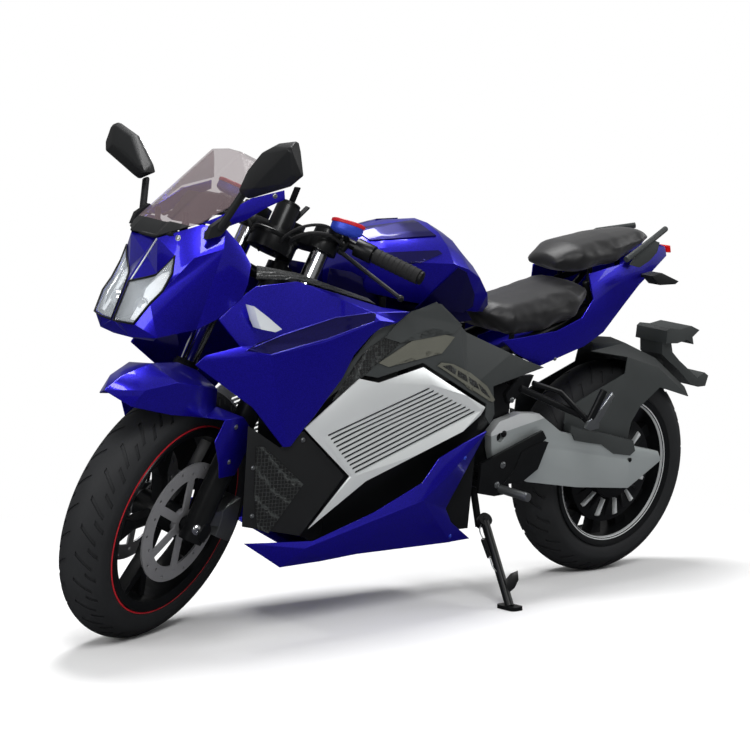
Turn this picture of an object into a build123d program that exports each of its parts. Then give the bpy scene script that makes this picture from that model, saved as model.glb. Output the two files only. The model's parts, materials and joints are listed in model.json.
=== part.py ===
from build123d import *
import math
import os

os.makedirs("parts", exist_ok=True)

# Driving dimensions in mm. x runs forward, y to the left, z up.
# The bike is drawn upright with straight steering; origin on the ground at mid wheelbase.
wheelbase = 1380.0
front_axle_x = wheelbase / 2
rear_axle_x = -wheelbase / 2
rake_deg = 24.0
trail = 95.0
steer_stop_deg = 28.0
lean_deg = 8.5

front_tyre_r = 293.0
front_tyre_w = 110.0
front_crown_r = 60.0
rear_tyre_r = 300.0
rear_tyre_w = 142.0
rear_crown_r = 76.0
crown_steps = 8
front_rim_lip_r = front_tyre_r - 70.5
rear_rim_lip_r = rear_tyre_r - 77.5
rim_lip_h = 16.5

moving_gap = 5.0
seat_gap = 0.3
panel_wall = 4.0

# Front end
leg_spacing = 97.0
lower_leg_r = 27.0
stanchion_r = 20.5
disc_y = 62.0
disc_r = front_rim_lip_r - 83.5
disc_inner_r = disc_r - 35.0
disc_holes = 20
disc_t = 4.5
axle_r = 10.0
front_hub_r = 34.0
front_hub_half = 52.0

# Rear end
arm_y = 102.0
arm_t = 26.0
motor_r = rear_rim_lip_r - 72.5
motor_half = 62.0
rear_axle_r = 11.0
pivot_x = -205.0
pivot_z = 430.0
pivot_r = 12.0

spool_x = rear_axle_x + 8.0
spool_z = rear_tyre_r + 43.0
spool_r = 4.0
spool_depth = 18.0

hanger_y = 126.0

# Battery block
battery_front = 345.0
battery_rear = -95.0
battery_half = 150.0
battery_floor = 215.0
battery_top = 588.0

# Side stand
stand_pivot = (-168.0, 128.0, 222.0)
stand_r = 11.0

# Handlebars
grip_r = 17.0
bar_r = 11.0
bar_inner = (396.0, 122.0, 938.0)
bar_outer = (370.0, 322.0, 910.0)
bar_end_r = 7.0
bar_end_depth = 30.0

# The body is drawn for this wheelbase and these tyres, and follows them when they change.
drawn_wheelbase = 1380.0
drawn_front_r = 293.0
drawn_rear_r = 300.0
rigid_half = 260.0

rake = math.radians(rake_deg)
steer_foot = (front_axle_x + trail, 0.0, 0.0)
steer_dir = (-math.sin(rake), 0.0, math.cos(rake))
steer_fwd = (math.cos(rake), 0.0, math.sin(rake))
front_axle = (front_axle_x, 0.0, front_tyre_r)
rear_axle = (rear_axle_x, 0.0, rear_tyre_r)
# Where the front axle lies along the steering axis, and how far ahead of it.
axle_s = trail * math.sin(rake) + front_tyre_r * math.cos(rake)
fork_ahead = front_tyre_r * math.sin(rake) - trail * math.cos(rake)


def on_fork(s, ahead, y):
    """Point at distance s up the steering axis, a way ahead of it and to the left."""
    x = steer_foot[0] + s * steer_dir[0] + ahead * steer_fwd[0]
    return (x, y, s * steer_dir[2] + ahead * steer_fwd[2])


def fork_plane(s, ahead, y):
    """Plane square to the steering axis, its x to the front and its y to the left."""
    return Plane(origin=on_fork(s, ahead, y), x_dir=steer_fwd, z_dir=steer_dir)


def along(x):
    """Length position of the body: its ends keep to the axles, its middle stretches."""
    share = max(-1.0, min(1.0, x / rigid_half))
    return x + share * (wheelbase - drawn_wheelbase) / 2


def at(x, y, z):
    return (along(x), y, z)


def round_wheel(points, axle, drawn_r):
    """Points drawn round a wheel, moved out from its axle by what the tyre has grown."""
    grown = axle[2] - drawn_r
    moved = {}
    for name, (x, y, z) in points.items():
        dx, dz = along(x) - axle[0], z - drawn_r
        scale = 1 + grown / math.hypot(dx, dz)
        moved[name] = (axle[0] + dx * scale - along(x) + x, y, axle[2] + dz * scale)
    return moved


def rod(start, end, radius):
    """Round bar between two points."""
    a = Vector(*start)
    b = Vector(*end)
    return Solid.make_cylinder(radius, (b - a).length, Plane(origin=a, z_dir=b - a))


def side_plate(outline, y_from, y_to):
    """Flat plate with an outline in x and z between two side positions."""
    face = Face(Wire.make_polygon([Vector(along(x), y_from, z) for x, z in outline], close=True))
    return Solid.extrude(face, Vector(0, y_to - y_from, 0))


def mirrored(shape):
    return shape.mirror(Plane.XZ)


def facet_shell(points, facets, wall, both=False):
    """Thin creased panel: triangles between named points, thickened inward by the wall."""
    outer = {name: Vector(*at(*p)) for name, p in points.items()}
    triangles = []
    for row in facets:
        names = row.split()
        for k in range(1, len(names) - 1):
            triangles.append((names[0], names[k], names[k + 1]))
    if both:
        for name, p in points.items():
            if abs(p[1]) > 1e-6:
                outer[name + "_r"] = Vector(*at(p[0], -p[1], p[2]))
        other = lambda n: n + "_r" if n + "_r" in outer else n
        triangles += [(other(c), other(b), other(a)) for a, b, c in triangles]
    normal = {name: Vector(0, 0, 0) for name in outer}
    for a, b, c in triangles:
        n = (outer[b] - outer[a]).cross(outer[c] - outer[a]).normalized()
        for name in (a, b, c):
            normal[name] = normal[name] + n
    inner = {}
    for name, p in outer.items():
        n = normal[name]
        if both and abs(p.Y) < 1e-6:
            n = Vector(n.X, 0, n.Z)
        inner[name] = p - n.normalized() * wall
    edges = {}
    for a, b, c in triangles:
        for e in ((a, b), (b, c), (c, a)):
            edges[e] = True
    faces = []
    for a, b, c in triangles:
        faces.append(Face(Wire.make_polygon([outer[a], outer[b], outer[c]], close=True)))
        faces.append(Face(Wire.make_polygon([inner[c], inner[b], inner[a]], close=True)))
    for a, b in edges:
        if (b, a) in edges:
            continue
        faces.append(Face(Wire.make_polygon([outer[a], inner[a], outer[b]], close=True)))
        faces.append(Face(Wire.make_polygon([inner[a], inner[b], outer[b]], close=True)))
    return Solid(Shell(faces))


def facet_block(points, facets):
    """Solid block closed by flat facets between named points."""
    corner = {name: Vector(*at(*p)) for name, p in points.items()}
    faces = []
    for row in facets:
        names = row.split()
        for k in range(1, len(names) - 1):
            faces.append(Face(Wire.make_polygon([corner[names[0]], corner[names[k]], corner[names[k + 1]]], close=True)))
    return Solid(Shell(faces))


def stud(start, way, radius, panel):
    """Round post from a start point along a way, ending a seating gap short of a panel."""
    a = Vector(*start)
    w = Vector(*way).normalized()
    hits = [(p, n) for p, n in panel.find_intersection_points(Axis(a, w)) if (p - a).dot(w) > 1]
    p, n = hits[0]
    cosine = abs(n.dot(w))
    back = seat_gap / cosine + radius * math.sqrt(max(0.0, 1 - cosine * cosine)) / cosine
    return rod(start, tuple(p - w * back), radius)


def chain(points, radius):
    """Bent round bar through points, with ball corners."""
    with BuildPart() as bar:
        for a, b in zip(points, points[1:]):
            add(rod(a, b, radius))
        for p in points[1:-1]:
            with Locations(p):
                Sphere(radius)
    return bar.part


def sector(axle, r_in, r_out, from_deg, to_deg, steps):
    """Outline in x and z of a ring sector round a wheel axle; angles rise from the front."""
    turns = [math.radians(from_deg + (to_deg - from_deg) * k / steps) for k in range(steps + 1)]
    outer = [(axle[0] + r_out * math.cos(a), axle[2] + r_out * math.sin(a)) for a in turns]
    inner = [(axle[0] + r_in * math.cos(a), axle[2] + r_in * math.sin(a)) for a in reversed(turns)]
    return outer + inner


def ring_y(radius_out, radius_in, y_from, y_to):
    """Ring about the y axis at the origin."""
    with BuildPart() as ring:
        with BuildSketch(Plane(origin=(0, y_from, 0), z_dir=(0, 1, 0))):
            Circle(radius_out)
            if radius_in > 0:
                Circle(radius_in, mode=Mode.SUBTRACT)
        extrude(amount=y_to - y_from)
    return ring.part


def turned(profile):
    """Revolve a closed profile of (radius, y) corners about the y axis."""
    with BuildPart() as body:
        with BuildSketch(Plane.XY):
            with BuildLine():
                Polyline(*profile, close=True)
            make_face()
        revolve(axis=Axis.Y)
    return body.part


def crown_rows(radius, width, crown):
    """Radius and side position of the tread's corners, from the right edge to the left."""
    centre = radius - crown
    reach = math.asin(width / 2 / crown)
    rows = []
    for k in range(crown_steps + 1):
        a = reach * (2 * k / crown_steps - 1)
        rows.append((centre + crown * math.cos(a), crown * math.sin(a)))
    return rows


def tyre_solid(radius, width, crown, lip_r):
    """Round-crowned tyre about the y axis, seated on the rim's bead seats."""
    half = width / 2
    bead_half = half - 14.0
    seat_r = lip_r - rim_lip_h + seat_gap
    return turned([
        *crown_rows(radius, width, crown), (lip_r + 4.0, half - 0.6), (seat_r, bead_half),
        (seat_r, -bead_half), (lip_r + 4.0, 0.6 - half),
    ])


def rim_ring(width, lip_r):
    """Rim barrel with a lip each side, its lips clear of the tyre's beads."""
    bead_half = width / 2 - 14.0
    seat_r = lip_r - rim_lip_h
    rows = [
        (seat_r, bead_half + 0.6), (lip_r - 6.0, bead_half + 7.5), (lip_r - 7.5, bead_half + 11.0),
        (seat_r - 12.0, bead_half + 4.0), (seat_r - 14.0, 0),
    ]
    return turned([(r, -y) for r, y in reversed(rows[:-1])] + rows)


# Placement: steering turned to its left stop, the bike leaned onto its stand, both tyres on the ground.
turn_left = Axis(steer_foot, steer_dir)


def steered(shape):
    return shape.rotate(turn_left, steer_stop_deg)


def tyre_low(centre, axle, rows):
    """Height of the lowest point of a leaned tyre with these tread corners."""
    level = math.sqrt(1 - axle.Z * axle.Z)
    return min(centre.Z + y * axle.Z - r * level for r, y in rows)


def lean_place(pitch_deg, drop):
    return Location((0, 0, drop)) * Location((0, 0, 0), (-lean_deg, 0, 0)) * Location((0, 0, 0), (0, pitch_deg, 0))


def through(place, point):
    return (place * Location(point)).position


def steer_point(point):
    p = Vector(*point) - Vector(*steer_foot)
    k = Vector(*steer_dir)
    a = math.radians(steer_stop_deg)
    turned_p = p * math.cos(a) + k.cross(p) * math.sin(a) + k * (k.dot(p) * (1 - math.cos(a)))
    return tuple(turned_p + Vector(*steer_foot))


pitch_deg = 0.0
drop = 0.0
for step in range(12):
    place = lean_place(pitch_deg, 0.0)
    lows = []
    for centre, side_point, rows in (
        (steer_point((front_axle_x, 0, front_tyre_r)), steer_point((front_axle_x, 1, front_tyre_r)),
         crown_rows(front_tyre_r, front_tyre_w, front_crown_r)),
        ((rear_axle_x, 0, rear_tyre_r), (rear_axle_x, 1, rear_tyre_r),
         crown_rows(rear_tyre_r, rear_tyre_w, rear_crown_r)),
    ):
        middle = through(place, centre)
        lows.append(tyre_low(middle, through(place, side_point) - middle, rows))
    pitch_deg += math.degrees((lows[0] - lows[1]) / wheelbase)
    drop = -lows[1]
bike_place = lean_place(pitch_deg, drop)
ground_to_bike = bike_place.inverse()
bike_up = tuple(through(ground_to_bike, (0, 0, 1)) - through(ground_to_bike, (0, 0, 0)))

# Side stand: its foot lies flat on the ground.
stand_ground = (-139.0, 286.0)
stand_foot_ground = tuple(through(ground_to_bike, (stand_ground[0], stand_ground[1], 0)))
stand_foot = tuple(through(ground_to_bike, (stand_ground[0], stand_ground[1], 6)))
stand_way = (Vector(*stand_foot) - Vector(*stand_pivot)).normalized()
stand_folded = Vector(-0.93, 0.33, -0.15).normalized()
stand_axis = tuple(stand_way.cross(stand_folded).normalized())
stand_pin_r = 6.0
stand_pin_root = tuple(Vector(*stand_pivot) - Vector(*stand_axis) * 34)
stand_pin_end = tuple(Vector(*stand_pivot) + Vector(*stand_axis) * 11)

# Front wheel.

with BuildPart() as front_tyre:
    add(tyre_solid(front_tyre_r, front_tyre_w, front_crown_r, front_rim_lip_r))

front_barrel_r = front_rim_lip_r - rim_lip_h - 9.0
with BuildPart() as front_rim:
    add(rim_ring(front_tyre_w, front_rim_lip_r))
    add(ring_y(front_hub_r, 0, -front_hub_half, front_hub_half))
    for spoke in range(5):
        angle = 72.0 * spoke + 18.0
        with BuildSketch(Plane.XZ.rotated((0, angle, 0))):
            with BuildLine():
                Polyline(
                    (-12, 20), (-10, front_barrel_r - 90), (-46, front_barrel_r), (-30, front_barrel_r + 2),
                    (0, front_barrel_r - 54), (30, front_barrel_r + 2), (46, front_barrel_r),
                    (10, front_barrel_r - 90), (12, 20), close=True,
                )
            make_face()
        extrude(amount=14, both=True)
    add(ring_y(axle_r + seat_gap, 0, -front_hub_half - 1, front_hub_half + 1), mode=Mode.SUBTRACT)

with BuildPart() as front_discs:
    for side in (1, -1):
        inside = side * (disc_y - disc_t / 2)
        outside = side * (disc_y + disc_t / 2)
        add(ring_y(disc_r, disc_inner_r, min(inside, outside), max(inside, outside)))
        add(ring_y(30.0, axle_r + 6.0, min(side * front_hub_half, outside), max(side * front_hub_half, outside)))
        with BuildSketch(Plane(origin=(0, inside, 0), z_dir=(0, side, 0))):
            for arm in range(6):
                with Locations(Rotation(0, 0, 60 * arm)):
                    with Locations((disc_inner_r / 2 + 15, 0)):
                        Rectangle(disc_inner_r - 22, 20)
        extrude(amount=disc_t)
        with BuildSketch(Plane(origin=(0, inside, 0), z_dir=(0, side, 0))):
            for hole in range(disc_holes):
                with Locations(Rotation(0, 0, 360 * hole / disc_holes)):
                    with Locations((disc_r - (11 if hole % 2 else 23), 0)):
                        Circle(3.6)
        extrude(amount=disc_t, mode=Mode.SUBTRACT)

# Rear wheel.
with BuildPart() as rear_tyre:
    add(tyre_solid(rear_tyre_r, rear_tyre_w, rear_crown_r, rear_rim_lip_r))

rear_barrel_r = rear_rim_lip_r - rim_lip_h - 8.0
motor_fins = 12
with BuildPart() as rear_rim_motor:
    add(rim_ring(rear_tyre_w, rear_rim_lip_r))
    add(ring_y(motor_r, 0, -motor_half + 16, motor_half - 16))
    add(ring_y(motor_r - 70, 0, -motor_half, motor_half))
    for fin in range(motor_fins):
        turn = Rotation(0, 360 * fin / motor_fins, 0)
        add(turn * side_plate([(-12, motor_r - 10), (-20, rear_barrel_r), (20, rear_barrel_r), (12, motor_r - 10)],
                              -18, 18))
        for side in (1, -1):
            wedge = Face(Wire.make_polygon(
                [Vector(-3, side * (motor_half - 18), motor_r - 6), Vector(-3, side * (motor_half - 18), motor_r - 80),
                 Vector(-3, side * (motor_half - 2), motor_r - 74)], close=True))
            add(turn * Solid.extrude(wedge, Vector(6, 0, 0)))
    add(ring_y(rear_axle_r + seat_gap, 0, -motor_half - 1, motor_half + 1), mode=Mode.SUBTRACT)

# Fork.
leg_bottom_s = axle_s - 30.0
leg_shoulder_s = axle_s + 330.0
leg_top_s = 1012.0
lower_clamp_s = 800.0
upper_clamp_s = 972.0
clamp_t = 26.0
clamp_r = 34.0
stem_r = 17.0

with BuildPart() as fork_legs:
    for side in (1, -1):
        with BuildSketch(fork_plane(leg_bottom_s, fork_ahead, side * leg_spacing)):
            Circle(lower_leg_r)
        extrude(amount=leg_shoulder_s - leg_bottom_s)
        with BuildSketch(fork_plane(leg_shoulder_s, fork_ahead, side * leg_spacing)):
            Circle(stanchion_r)
        extrude(amount=leg_top_s - leg_shoulder_s)
        with BuildSketch(fork_plane(leg_shoulder_s - 30, fork_ahead, side * leg_spacing)):
            Circle(lower_leg_r + 3)
        extrude(amount=24)
        add(rod((front_axle_x, side * (leg_spacing - 27), front_tyre_r), (front_axle_x, side * (leg_spacing + 27), front_tyre_r), 21))
    add(ring_y(axle_r, 0, -leg_spacing, leg_spacing).moved(Location(front_axle)))

with BuildPart() as triple_clamps:
    for s in (lower_clamp_s, upper_clamp_s):
        with BuildSketch(fork_plane(s, 0, 0)):
            with BuildLine():
                Polyline(
                    (-26, 20), (-26, -20), (fork_ahead - 20, -leg_spacing - 26),
                    (fork_ahead + 22, -leg_spacing - 26), (fork_ahead + 30, -leg_spacing + 10),
                    (fork_ahead + 8, 0), (fork_ahead + 30, leg_spacing - 10),
                    (fork_ahead + 22, leg_spacing + 26), (fork_ahead - 20, leg_spacing + 26), close=True,
                )
            make_face()
            with Locations((fork_ahead, leg_spacing), (fork_ahead, -leg_spacing)):
                Circle(clamp_r)
            with Locations((fork_ahead, leg_spacing), (fork_ahead, -leg_spacing)):
                Circle(stanchion_r + seat_gap, mode=Mode.SUBTRACT)
        extrude(amount=clamp_t)
    with BuildSketch(fork_plane(lower_clamp_s + clamp_t / 2, 0, 0)):
        Circle(stem_r)
    extrude(amount=upper_clamp_s - lower_clamp_s + 34)
    with BuildSketch(fork_plane(upper_clamp_s + 2, fork_ahead + 40, 0)):
        Circle(28)
    extrude(amount=62)
    with BuildSketch(fork_plane(upper_clamp_s - 46, fork_ahead + 40, 0)):
        Circle(54)
    extrude(amount=50)

lever_root = (424.0, 146.0, 918.0)
lever_tip = (436.0, 322.0, 868.0)
reservoir = (440.0, 155.0, 978.0)
with BuildPart() as handlebars:
    for side in (1, -1):
        inner = at(bar_inner[0], side * bar_inner[1], bar_inner[2])
        outer = at(bar_outer[0], side * bar_outer[1], bar_outer[2])
        with BuildSketch(fork_plane(upper_clamp_s + clamp_t + seat_gap, fork_ahead, side * leg_spacing)):
            Circle(33)
            Circle(stanchion_r + seat_gap, mode=Mode.SUBTRACT)
        extrude(amount=26)
        add(rod(inner, outer, bar_r))
        a = Vector(*inner)
        b = Vector(*outer)
        way = (b - a).normalized()
        add(rod(tuple(a + way * 92), outer, grip_r))
        add(rod(tuple(a + way * 46), tuple(a + way * 88), grip_r + 4))
        root = at(lever_root[0], side * lever_root[1], lever_root[2])
        tip = at(lever_tip[0], side * lever_tip[1], lever_tip[2])
        add(rod(tuple(a + way * 22), root, 10))
        add(rod(root, tip, 5))
        with Locations(tip):
            Sphere(7.5)
        cup = at(reservoir[0], side * reservoir[1], reservoir[2])
        add(rod(tuple(a + way * 20), cup, 7))
        with Locations(Location(cup, (0, -20, side * 12))):
            Box(40, 72, 34)
        add(rod(tuple(b - way * bar_end_depth), outer, bar_end_r), mode=Mode.SUBTRACT)

hose_r = 3.5
with BuildPart() as brake_hoses:
    for side in (1, -1):
        with BuildLine() as run:
            FilletPolyline(
                on_fork(axle_s + 47, fork_ahead - 52, side * (disc_y + 30)),
                on_fork(axle_s + 100, fork_ahead - lower_leg_r - 9, side * leg_spacing),
                on_fork(axle_s + 300, fork_ahead - lower_leg_r - 9, side * leg_spacing),
                on_fork(lower_clamp_s - seat_gap, fork_ahead - lower_leg_r - 4, side * (leg_spacing - 3)),
                radius=30,
            )
        with BuildSketch(Plane(origin=run.line @ 0, z_dir=run.line % 0)):
            Circle(hose_r)
        sweep(path=run.line)

# Rear suspension.
with BuildPart() as swingarm:
    for side in (1, -1):
        add(side_plate(
            [(-173, 442), (-199, 471), (-264, 489), (-331, 485), (-414, 434), (-693, 379), (-797, 358),
             (-815, 332), (-693, 261), (-493, 279), (-313, 307), (-196, 355), (-180, 399)],
            side * (arm_y - arm_t / 2), side * (arm_y + arm_t / 2)))
    add(rod(at(-325, -arm_y, 440), at(-325, arm_y, 440), 22))
    arm_end = arm_y + arm_t / 2 - 2
    add(rod((rear_axle_x, -arm_end, rear_tyre_r), (rear_axle_x, arm_end, rear_tyre_r), rear_axle_r))
    add(rod(at(pivot_x, -arm_y - 20, pivot_z), at(pivot_x, arm_y + 20, pivot_z), pivot_r + seat_gap), mode=Mode.SUBTRACT)
    for side in (1, -1):
        mouth = side * (arm_y + arm_t / 2)
        add(rod((spool_x, mouth - side * spool_depth, spool_z), (spool_x, mouth, spool_z), spool_r), mode=Mode.SUBTRACT)

with BuildPart() as shock:
    top = Vector(*at(-200, 0, 600))
    low = Vector(*at(-325, 0, 440))
    way = (low - top).normalized()
    add(rod(tuple(top + way * 12.5), tuple(low - way * 22.5), 9))
    add(rod(tuple(top + way * 26), tuple(low - way * 40), 27))

# Side stand.
with BuildPart() as stand_leg:
    add(rod(stand_pivot, stand_foot, stand_r))
    with BuildSketch(Plane(origin=stand_pivot, z_dir=stand_axis)):
        Circle(18)
    extrude(amount=8, both=True)
    foot_plane = Plane(origin=stand_foot_ground, z_dir=bike_up)
    with BuildSketch(foot_plane):
        RectangleRounded(64, 38, 12)
    extrude(amount=9)
    with BuildSketch(Plane(origin=stand_pivot, z_dir=stand_axis)):
        Circle(stand_pin_r + seat_gap)
    extrude(amount=12, both=True, mode=Mode.SUBTRACT)

# Bodywork.
lamp_points = {
    "d3": (788, 5, 799), "a2": (766, 40, 811), "a3": (755, 64, 820), "a4": (749, 88, 839), "ap": (740, 110, 864),
    "b1": (748, 118, 830), "b2": (767, 118, 793), "b3": (791, 110, 765), "b4": (816, 92, 721),
    "b5": (825, 42, 719), "d1": (819, 5, 716),
}
with BuildPart() as nose_fairing:
    add(facet_shell(
        {
            **lamp_points,
            "r1": (820, 0, 716), "r3": (790, 0, 799), "r4": (770, 0, 831), "r5": (752, 0, 859), "r6": (731, 0, 893),
            "e1": (757, 60, 896), "e2": (730, 102, 914), "e3": (690, 124, 932), "w1": (648, 150, 927),
            "w2": (615, 158, 895), "w3": (590, 165, 856), "w5": (597, 169, 814), "v1": (610, 172, 787),
            "v2": (670, 176, 742), "v3": (712, 168, 720), "v4": (784, 135, 698), "u1": (712, 140, 864),
            "u2": (655, 160, 886), "k0": (815, 0, 688), "k1": (812, 70, 690), "z0": (767, 0, 676), "z1": (767, 90, 684),
        },
        [
            "r3 a2 r4", "r3 d3 a2", "r4 a2 a3 r5", "r5 a3 e1 r6", "e1 a3 a4 ap e2", "u1 w1 e3 e2 ap", "u2 w2 w1 u1",
            "u2 w3 w2", "u1 ap b1 b2", "u2 u1 b2 b3 v3 v2 v1 w5 w3", "b3 b4 v4 v3", "b4 k1 v4", "b5 k1 b4",
            "k1 b5 d1 r1 k0", "k0 z0 z1 k1", "k1 z1 v4", "r1 d1 d3 r3",
        ],
        panel_wall, both=True))

lens_middle = (797, 62, 775)
lens_share = 0.945
with BuildPart() as headlights:
    inset = {}
    for name, p in {**lamp_points, "mid": lens_middle}.items():
        inset[name] = tuple(m + (c - m) * lens_share for c, m in zip(p, lens_middle))
    lamp = facet_shell(
        inset,
        ["mid a2 d3", "mid a3 a2", "mid a4 a3", "mid ap a4", "mid b1 ap", "mid b2 b1", "mid b3 b2", "mid b4 b3",
         "mid b5 b4", "mid d1 b5", "mid d3 d1"],
        3.0)
    add(lamp)
    add(mirrored(lamp))

with BuildPart() as windscreen:
    add(facet_shell(
        {
            "s0": (733, 0, 898), "s1": (760, 60, 901), "s1b": (732, 103, 919), "s2": (692, 126, 937),
            "s2b": (596, 150, 1000), "s3": (512, 156, 1022), "s6": (540, 112, 1064), "s5": (572, 60, 1086),
            "s4": (566, 0, 1090),
        },
        ["s0 s1 s5 s4", "s5 s1 s1b s2", "s5 s2 s2b", "s5 s2b s3 s6"], 3.5, both=True))

with BuildPart() as left_side_fairing:
    add(facet_shell(
        {
            "p0": (699, 150, 642), "p1": (680, 158, 664), "p2": (615, 186, 686), "p3": (535, 192, 707),
            "p4": (290, 196, 760), "p5": (174, 188, 760), "q0": (577, 190, 555), "q1": (504, 206, 469),
            "q2": (484, 207, 469), "q3": (451, 207, 509), "q4": (429, 207, 532), "q5": (360, 206, 616),
            "q6": (333, 204, 666), "q7": (290, 202, 708), "q8": (266, 200, 723), "q9": (214, 195, 735),
            "b1": (554, 214, 671), "b2": (410, 213, 700), "b3": (271, 204, 742),
            "t1": (664, 172, 742), "t2": (600, 168, 795), "t3": (575, 168, 811), "t4": (477, 172, 823),
            "t5": (246, 180, 768),
        },
        [
            "p1 p0 b1 p2", "b1 p0 q0 q1", "b1 q1 q2 q3 q4 b2", "b2 q4 q5 q6 q7 b3", "b3 q7 q8 q9",
            "p2 b1 b2 p3", "p3 b2 b3 p4", "p4 b3 q9 p5", "t1 p2 p3 t3 t2", "t3 p3 t4", "t4 p3 p4 t5", "t5 p4 p5",
        ],
        panel_wall))

with BuildPart() as left_frame_cover:
    add(facet_shell(
        {
            "g0": (440, 190, 530), "g1": (263, 184, 716), "g2": (172, 176, 753), "g3": (85, 170, 780),
            "g4": (8, 168, 727), "g5": (-25, 156, 706), "g6": (-183, 148, 650), "g7": (-242, 143, 630),
            "g8": (-310, 138, 610), "g9": (-123, 162, 572), "g10": (-136, 162, 504), "g11": (-119, 168, 478),
            "s0": (-96, 174, 500), "s1": (-96, 174, 532), "s2": (-18, 188, 569), "s3": (130, 196, 642),
            "s4": (258, 198, 611), "s5": (313, 198, 621),
        },
        [
            "g1 g0 s5", "g1 s5 s4 s3", "g1 s3 g2", "g2 s3 g4 g3", "g4 s3 s2", "g4 s2 g5", "g5 s2 g6", "s2 s1 g9 g6",
            "g6 g9 g7", "g7 g9 g8", "g9 s1 s0 g10", "g10 s0 g11",
        ],
        panel_wall))

louvre_count = 11
louvre_slot = 5.0
louvre_rim = 14.0
louvre_corners = {"q1": (408, 211, 488), "q2": (107, 207, 592), "q3": (-70, 186, 520), "q4": (323, 217, 392)}


def between(a, b, share):
    return tuple(p + (q - p) * share for p, q in zip(a, b))


with BuildPart() as left_battery_panel:
    add(facet_shell(
        {
            "a": (450, 206, 506), "b": (313, 204, 612), "c": (258, 204, 601), "d": (132, 200, 633),
            "e": (-14, 194, 559), "f": (-87, 180, 526), "g": (-71, 184, 508), "h": (-3, 204, 476),
            "i": (132, 212, 431), "j": (280, 214, 378), "k": (420, 206, 279), "l": (326, 214, 393),
            **louvre_corners,
        },
        [
            "b a q1 c", "c q1 q2 d", "d q2 e", "e q2 q3 f", "f q3 g", "g q3 h", "h q3 i", "i q3 q4 j",
            "j q4 k", "a l q1", "q1 l q4", "l k q4", "q1 q4 q3 q2",
        ],
        panel_wall))
    for louvre in range(louvre_count):
        share = (louvre + 0.5) / louvre_count
        front = between(louvre_corners["q4"], louvre_corners["q1"], share)
        rear = between(louvre_corners["q3"], louvre_corners["q2"], share)
        run = Vector(rear[0] - front[0], 0, rear[2] - front[2]).normalized()
        across = Vector(-run.Z, 0, run.X)
        ends = (Vector(front[0], 0, front[2]) + run * louvre_rim, Vector(rear[0], 0, rear[2]) - run * louvre_rim)
        corners = [
            ends[0], ends[0] + (run + across) * louvre_slot / 2, ends[1] + (across - run) * louvre_slot / 2, ends[1],
            ends[1] - (run + across) * louvre_slot / 2, ends[0] + (run - across) * louvre_slot / 2,
        ]
        add(side_plate([(p.X, p.Z) for p in corners], 160, 240), mode=Mode.SUBTRACT)

with BuildPart() as left_front_duct:
    add(facet_shell(
        {
            "a": (579, 181, 514), "b": (503, 196, 464), "c": (447, 199, 499), "d": (333, 206, 393),
            "e": (437, 199, 262), "f": (577, 183, 292), "m": (480, 197, 388),
        },
        ["a f m b", "b m c", "c m d", "d m e", "m f e"], panel_wall))

with BuildPart() as belly_pan:
    add(facet_shell(
        {
            "tip": (574, 190, 256), "lf": (478, 192, 192), "l1": (370, 186, 192), "l2": (262, 180, 196),
            "l3": (-30, 165, 190), "rear": (-106, 150, 187), "u1": (404, 206, 250), "u2": (245, 209, 301),
            "u3": (110, 208, 360), "u4": (64, 205, 415), "u5": (-9, 198, 443), "u6": (-104, 176, 466),
            "c1": (430, 212, 236), "c2": (110, 218, 320), "c3": (40, 213, 370), "r1": (7, 180, 282),
            "r2": (-24, 168, 242), "f1": (370, 0, 186), "f2": (-60, 0, 184),
        },
        [
            "tip lf c1", "tip c1 u1", "u1 c1 c2 u2", "c1 lf l1 l2 c2", "c2 l2 l3 r2 r1 c3", "u2 c2 u3", "u3 c2 c3 u4",
            "u4 c3 u5", "c3 r1 u6 u5", "l3 rear r2", "l2 l1 f1", "l3 l2 f1 f2",
        ],
        panel_wall, both=True))

with BuildPart() as cockpit_cover:
    strip = facet_shell(
        {
            "o1": (570, 158, 826), "o2": (467, 164, 826), "o3": (262, 170, 775), "i1": (560, 140, 852),
            "i2": (460, 144, 838), "i3": (262, 142, 783),
        },
        ["i1 o1 o2 i2", "i2 o2 o3 i3"], 3.0)
    band = facet_shell(
        {
            "t1": (690, 128, 935.5), "t2": (656, 144, 954.5), "t3": (592, 150, 992.5), "t4": (516, 156, 1013.6),
            "l1": (648, 151, 930), "l2": (603, 155, 948), "l3": (564, 157, 972), "l4": (514, 158, 995),
        },
        ["l1 l2 t3 t2 t1", "l3 l4 t4 t3 l2"], 3.0)
    strip = strip + stud(at(350, 155, 802), (0, 1, -1.6), 4, left_side_fairing.part)
    for piece in (strip, band):
        add(piece)
        add(mirrored(piece))


def hump(half, edge, top, steps=6):
    """Corners of a round top from one edge over the middle to the other."""
    rise = top - edge
    radius = (half * half + rise * rise) / (2 * rise)
    reach = math.asin(half / radius)
    rows = []
    for k in range(steps + 1):
        a = reach * (1 - 2 * k / steps)
        rows.append((radius * math.sin(a), top - radius + radius * math.cos(a)))
    return rows


tank_sections = (
    # x, half width, low z, shoulder z, top z
    (238, 105, 792, 862, 922),
    (190, 134, 784, 866, 938),
    (120, 156, 772, 868, 954),
    (40, 165, 762, 868, 960),
    (-10, 160, 756, 856, 938),
    (-60, 146, 750, 834, 894),
    (-118, 112, 744, 792, 835),
    (-158, 72, 740, 760, 775),
)
with BuildPart() as tank_cover:
    for x, half, low, shoulder, top in tank_sections:
        with BuildSketch(Plane(origin=at(x, 0, 0), x_dir=(0, 1, 0), z_dir=(1, 0, 0))):
            with BuildLine():
                Polyline(*hump(half, shoulder, top, 8), (-half * 0.75, low), (half * 0.75, low), close=True)
            make_face()
    loft(ruled=True)


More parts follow.
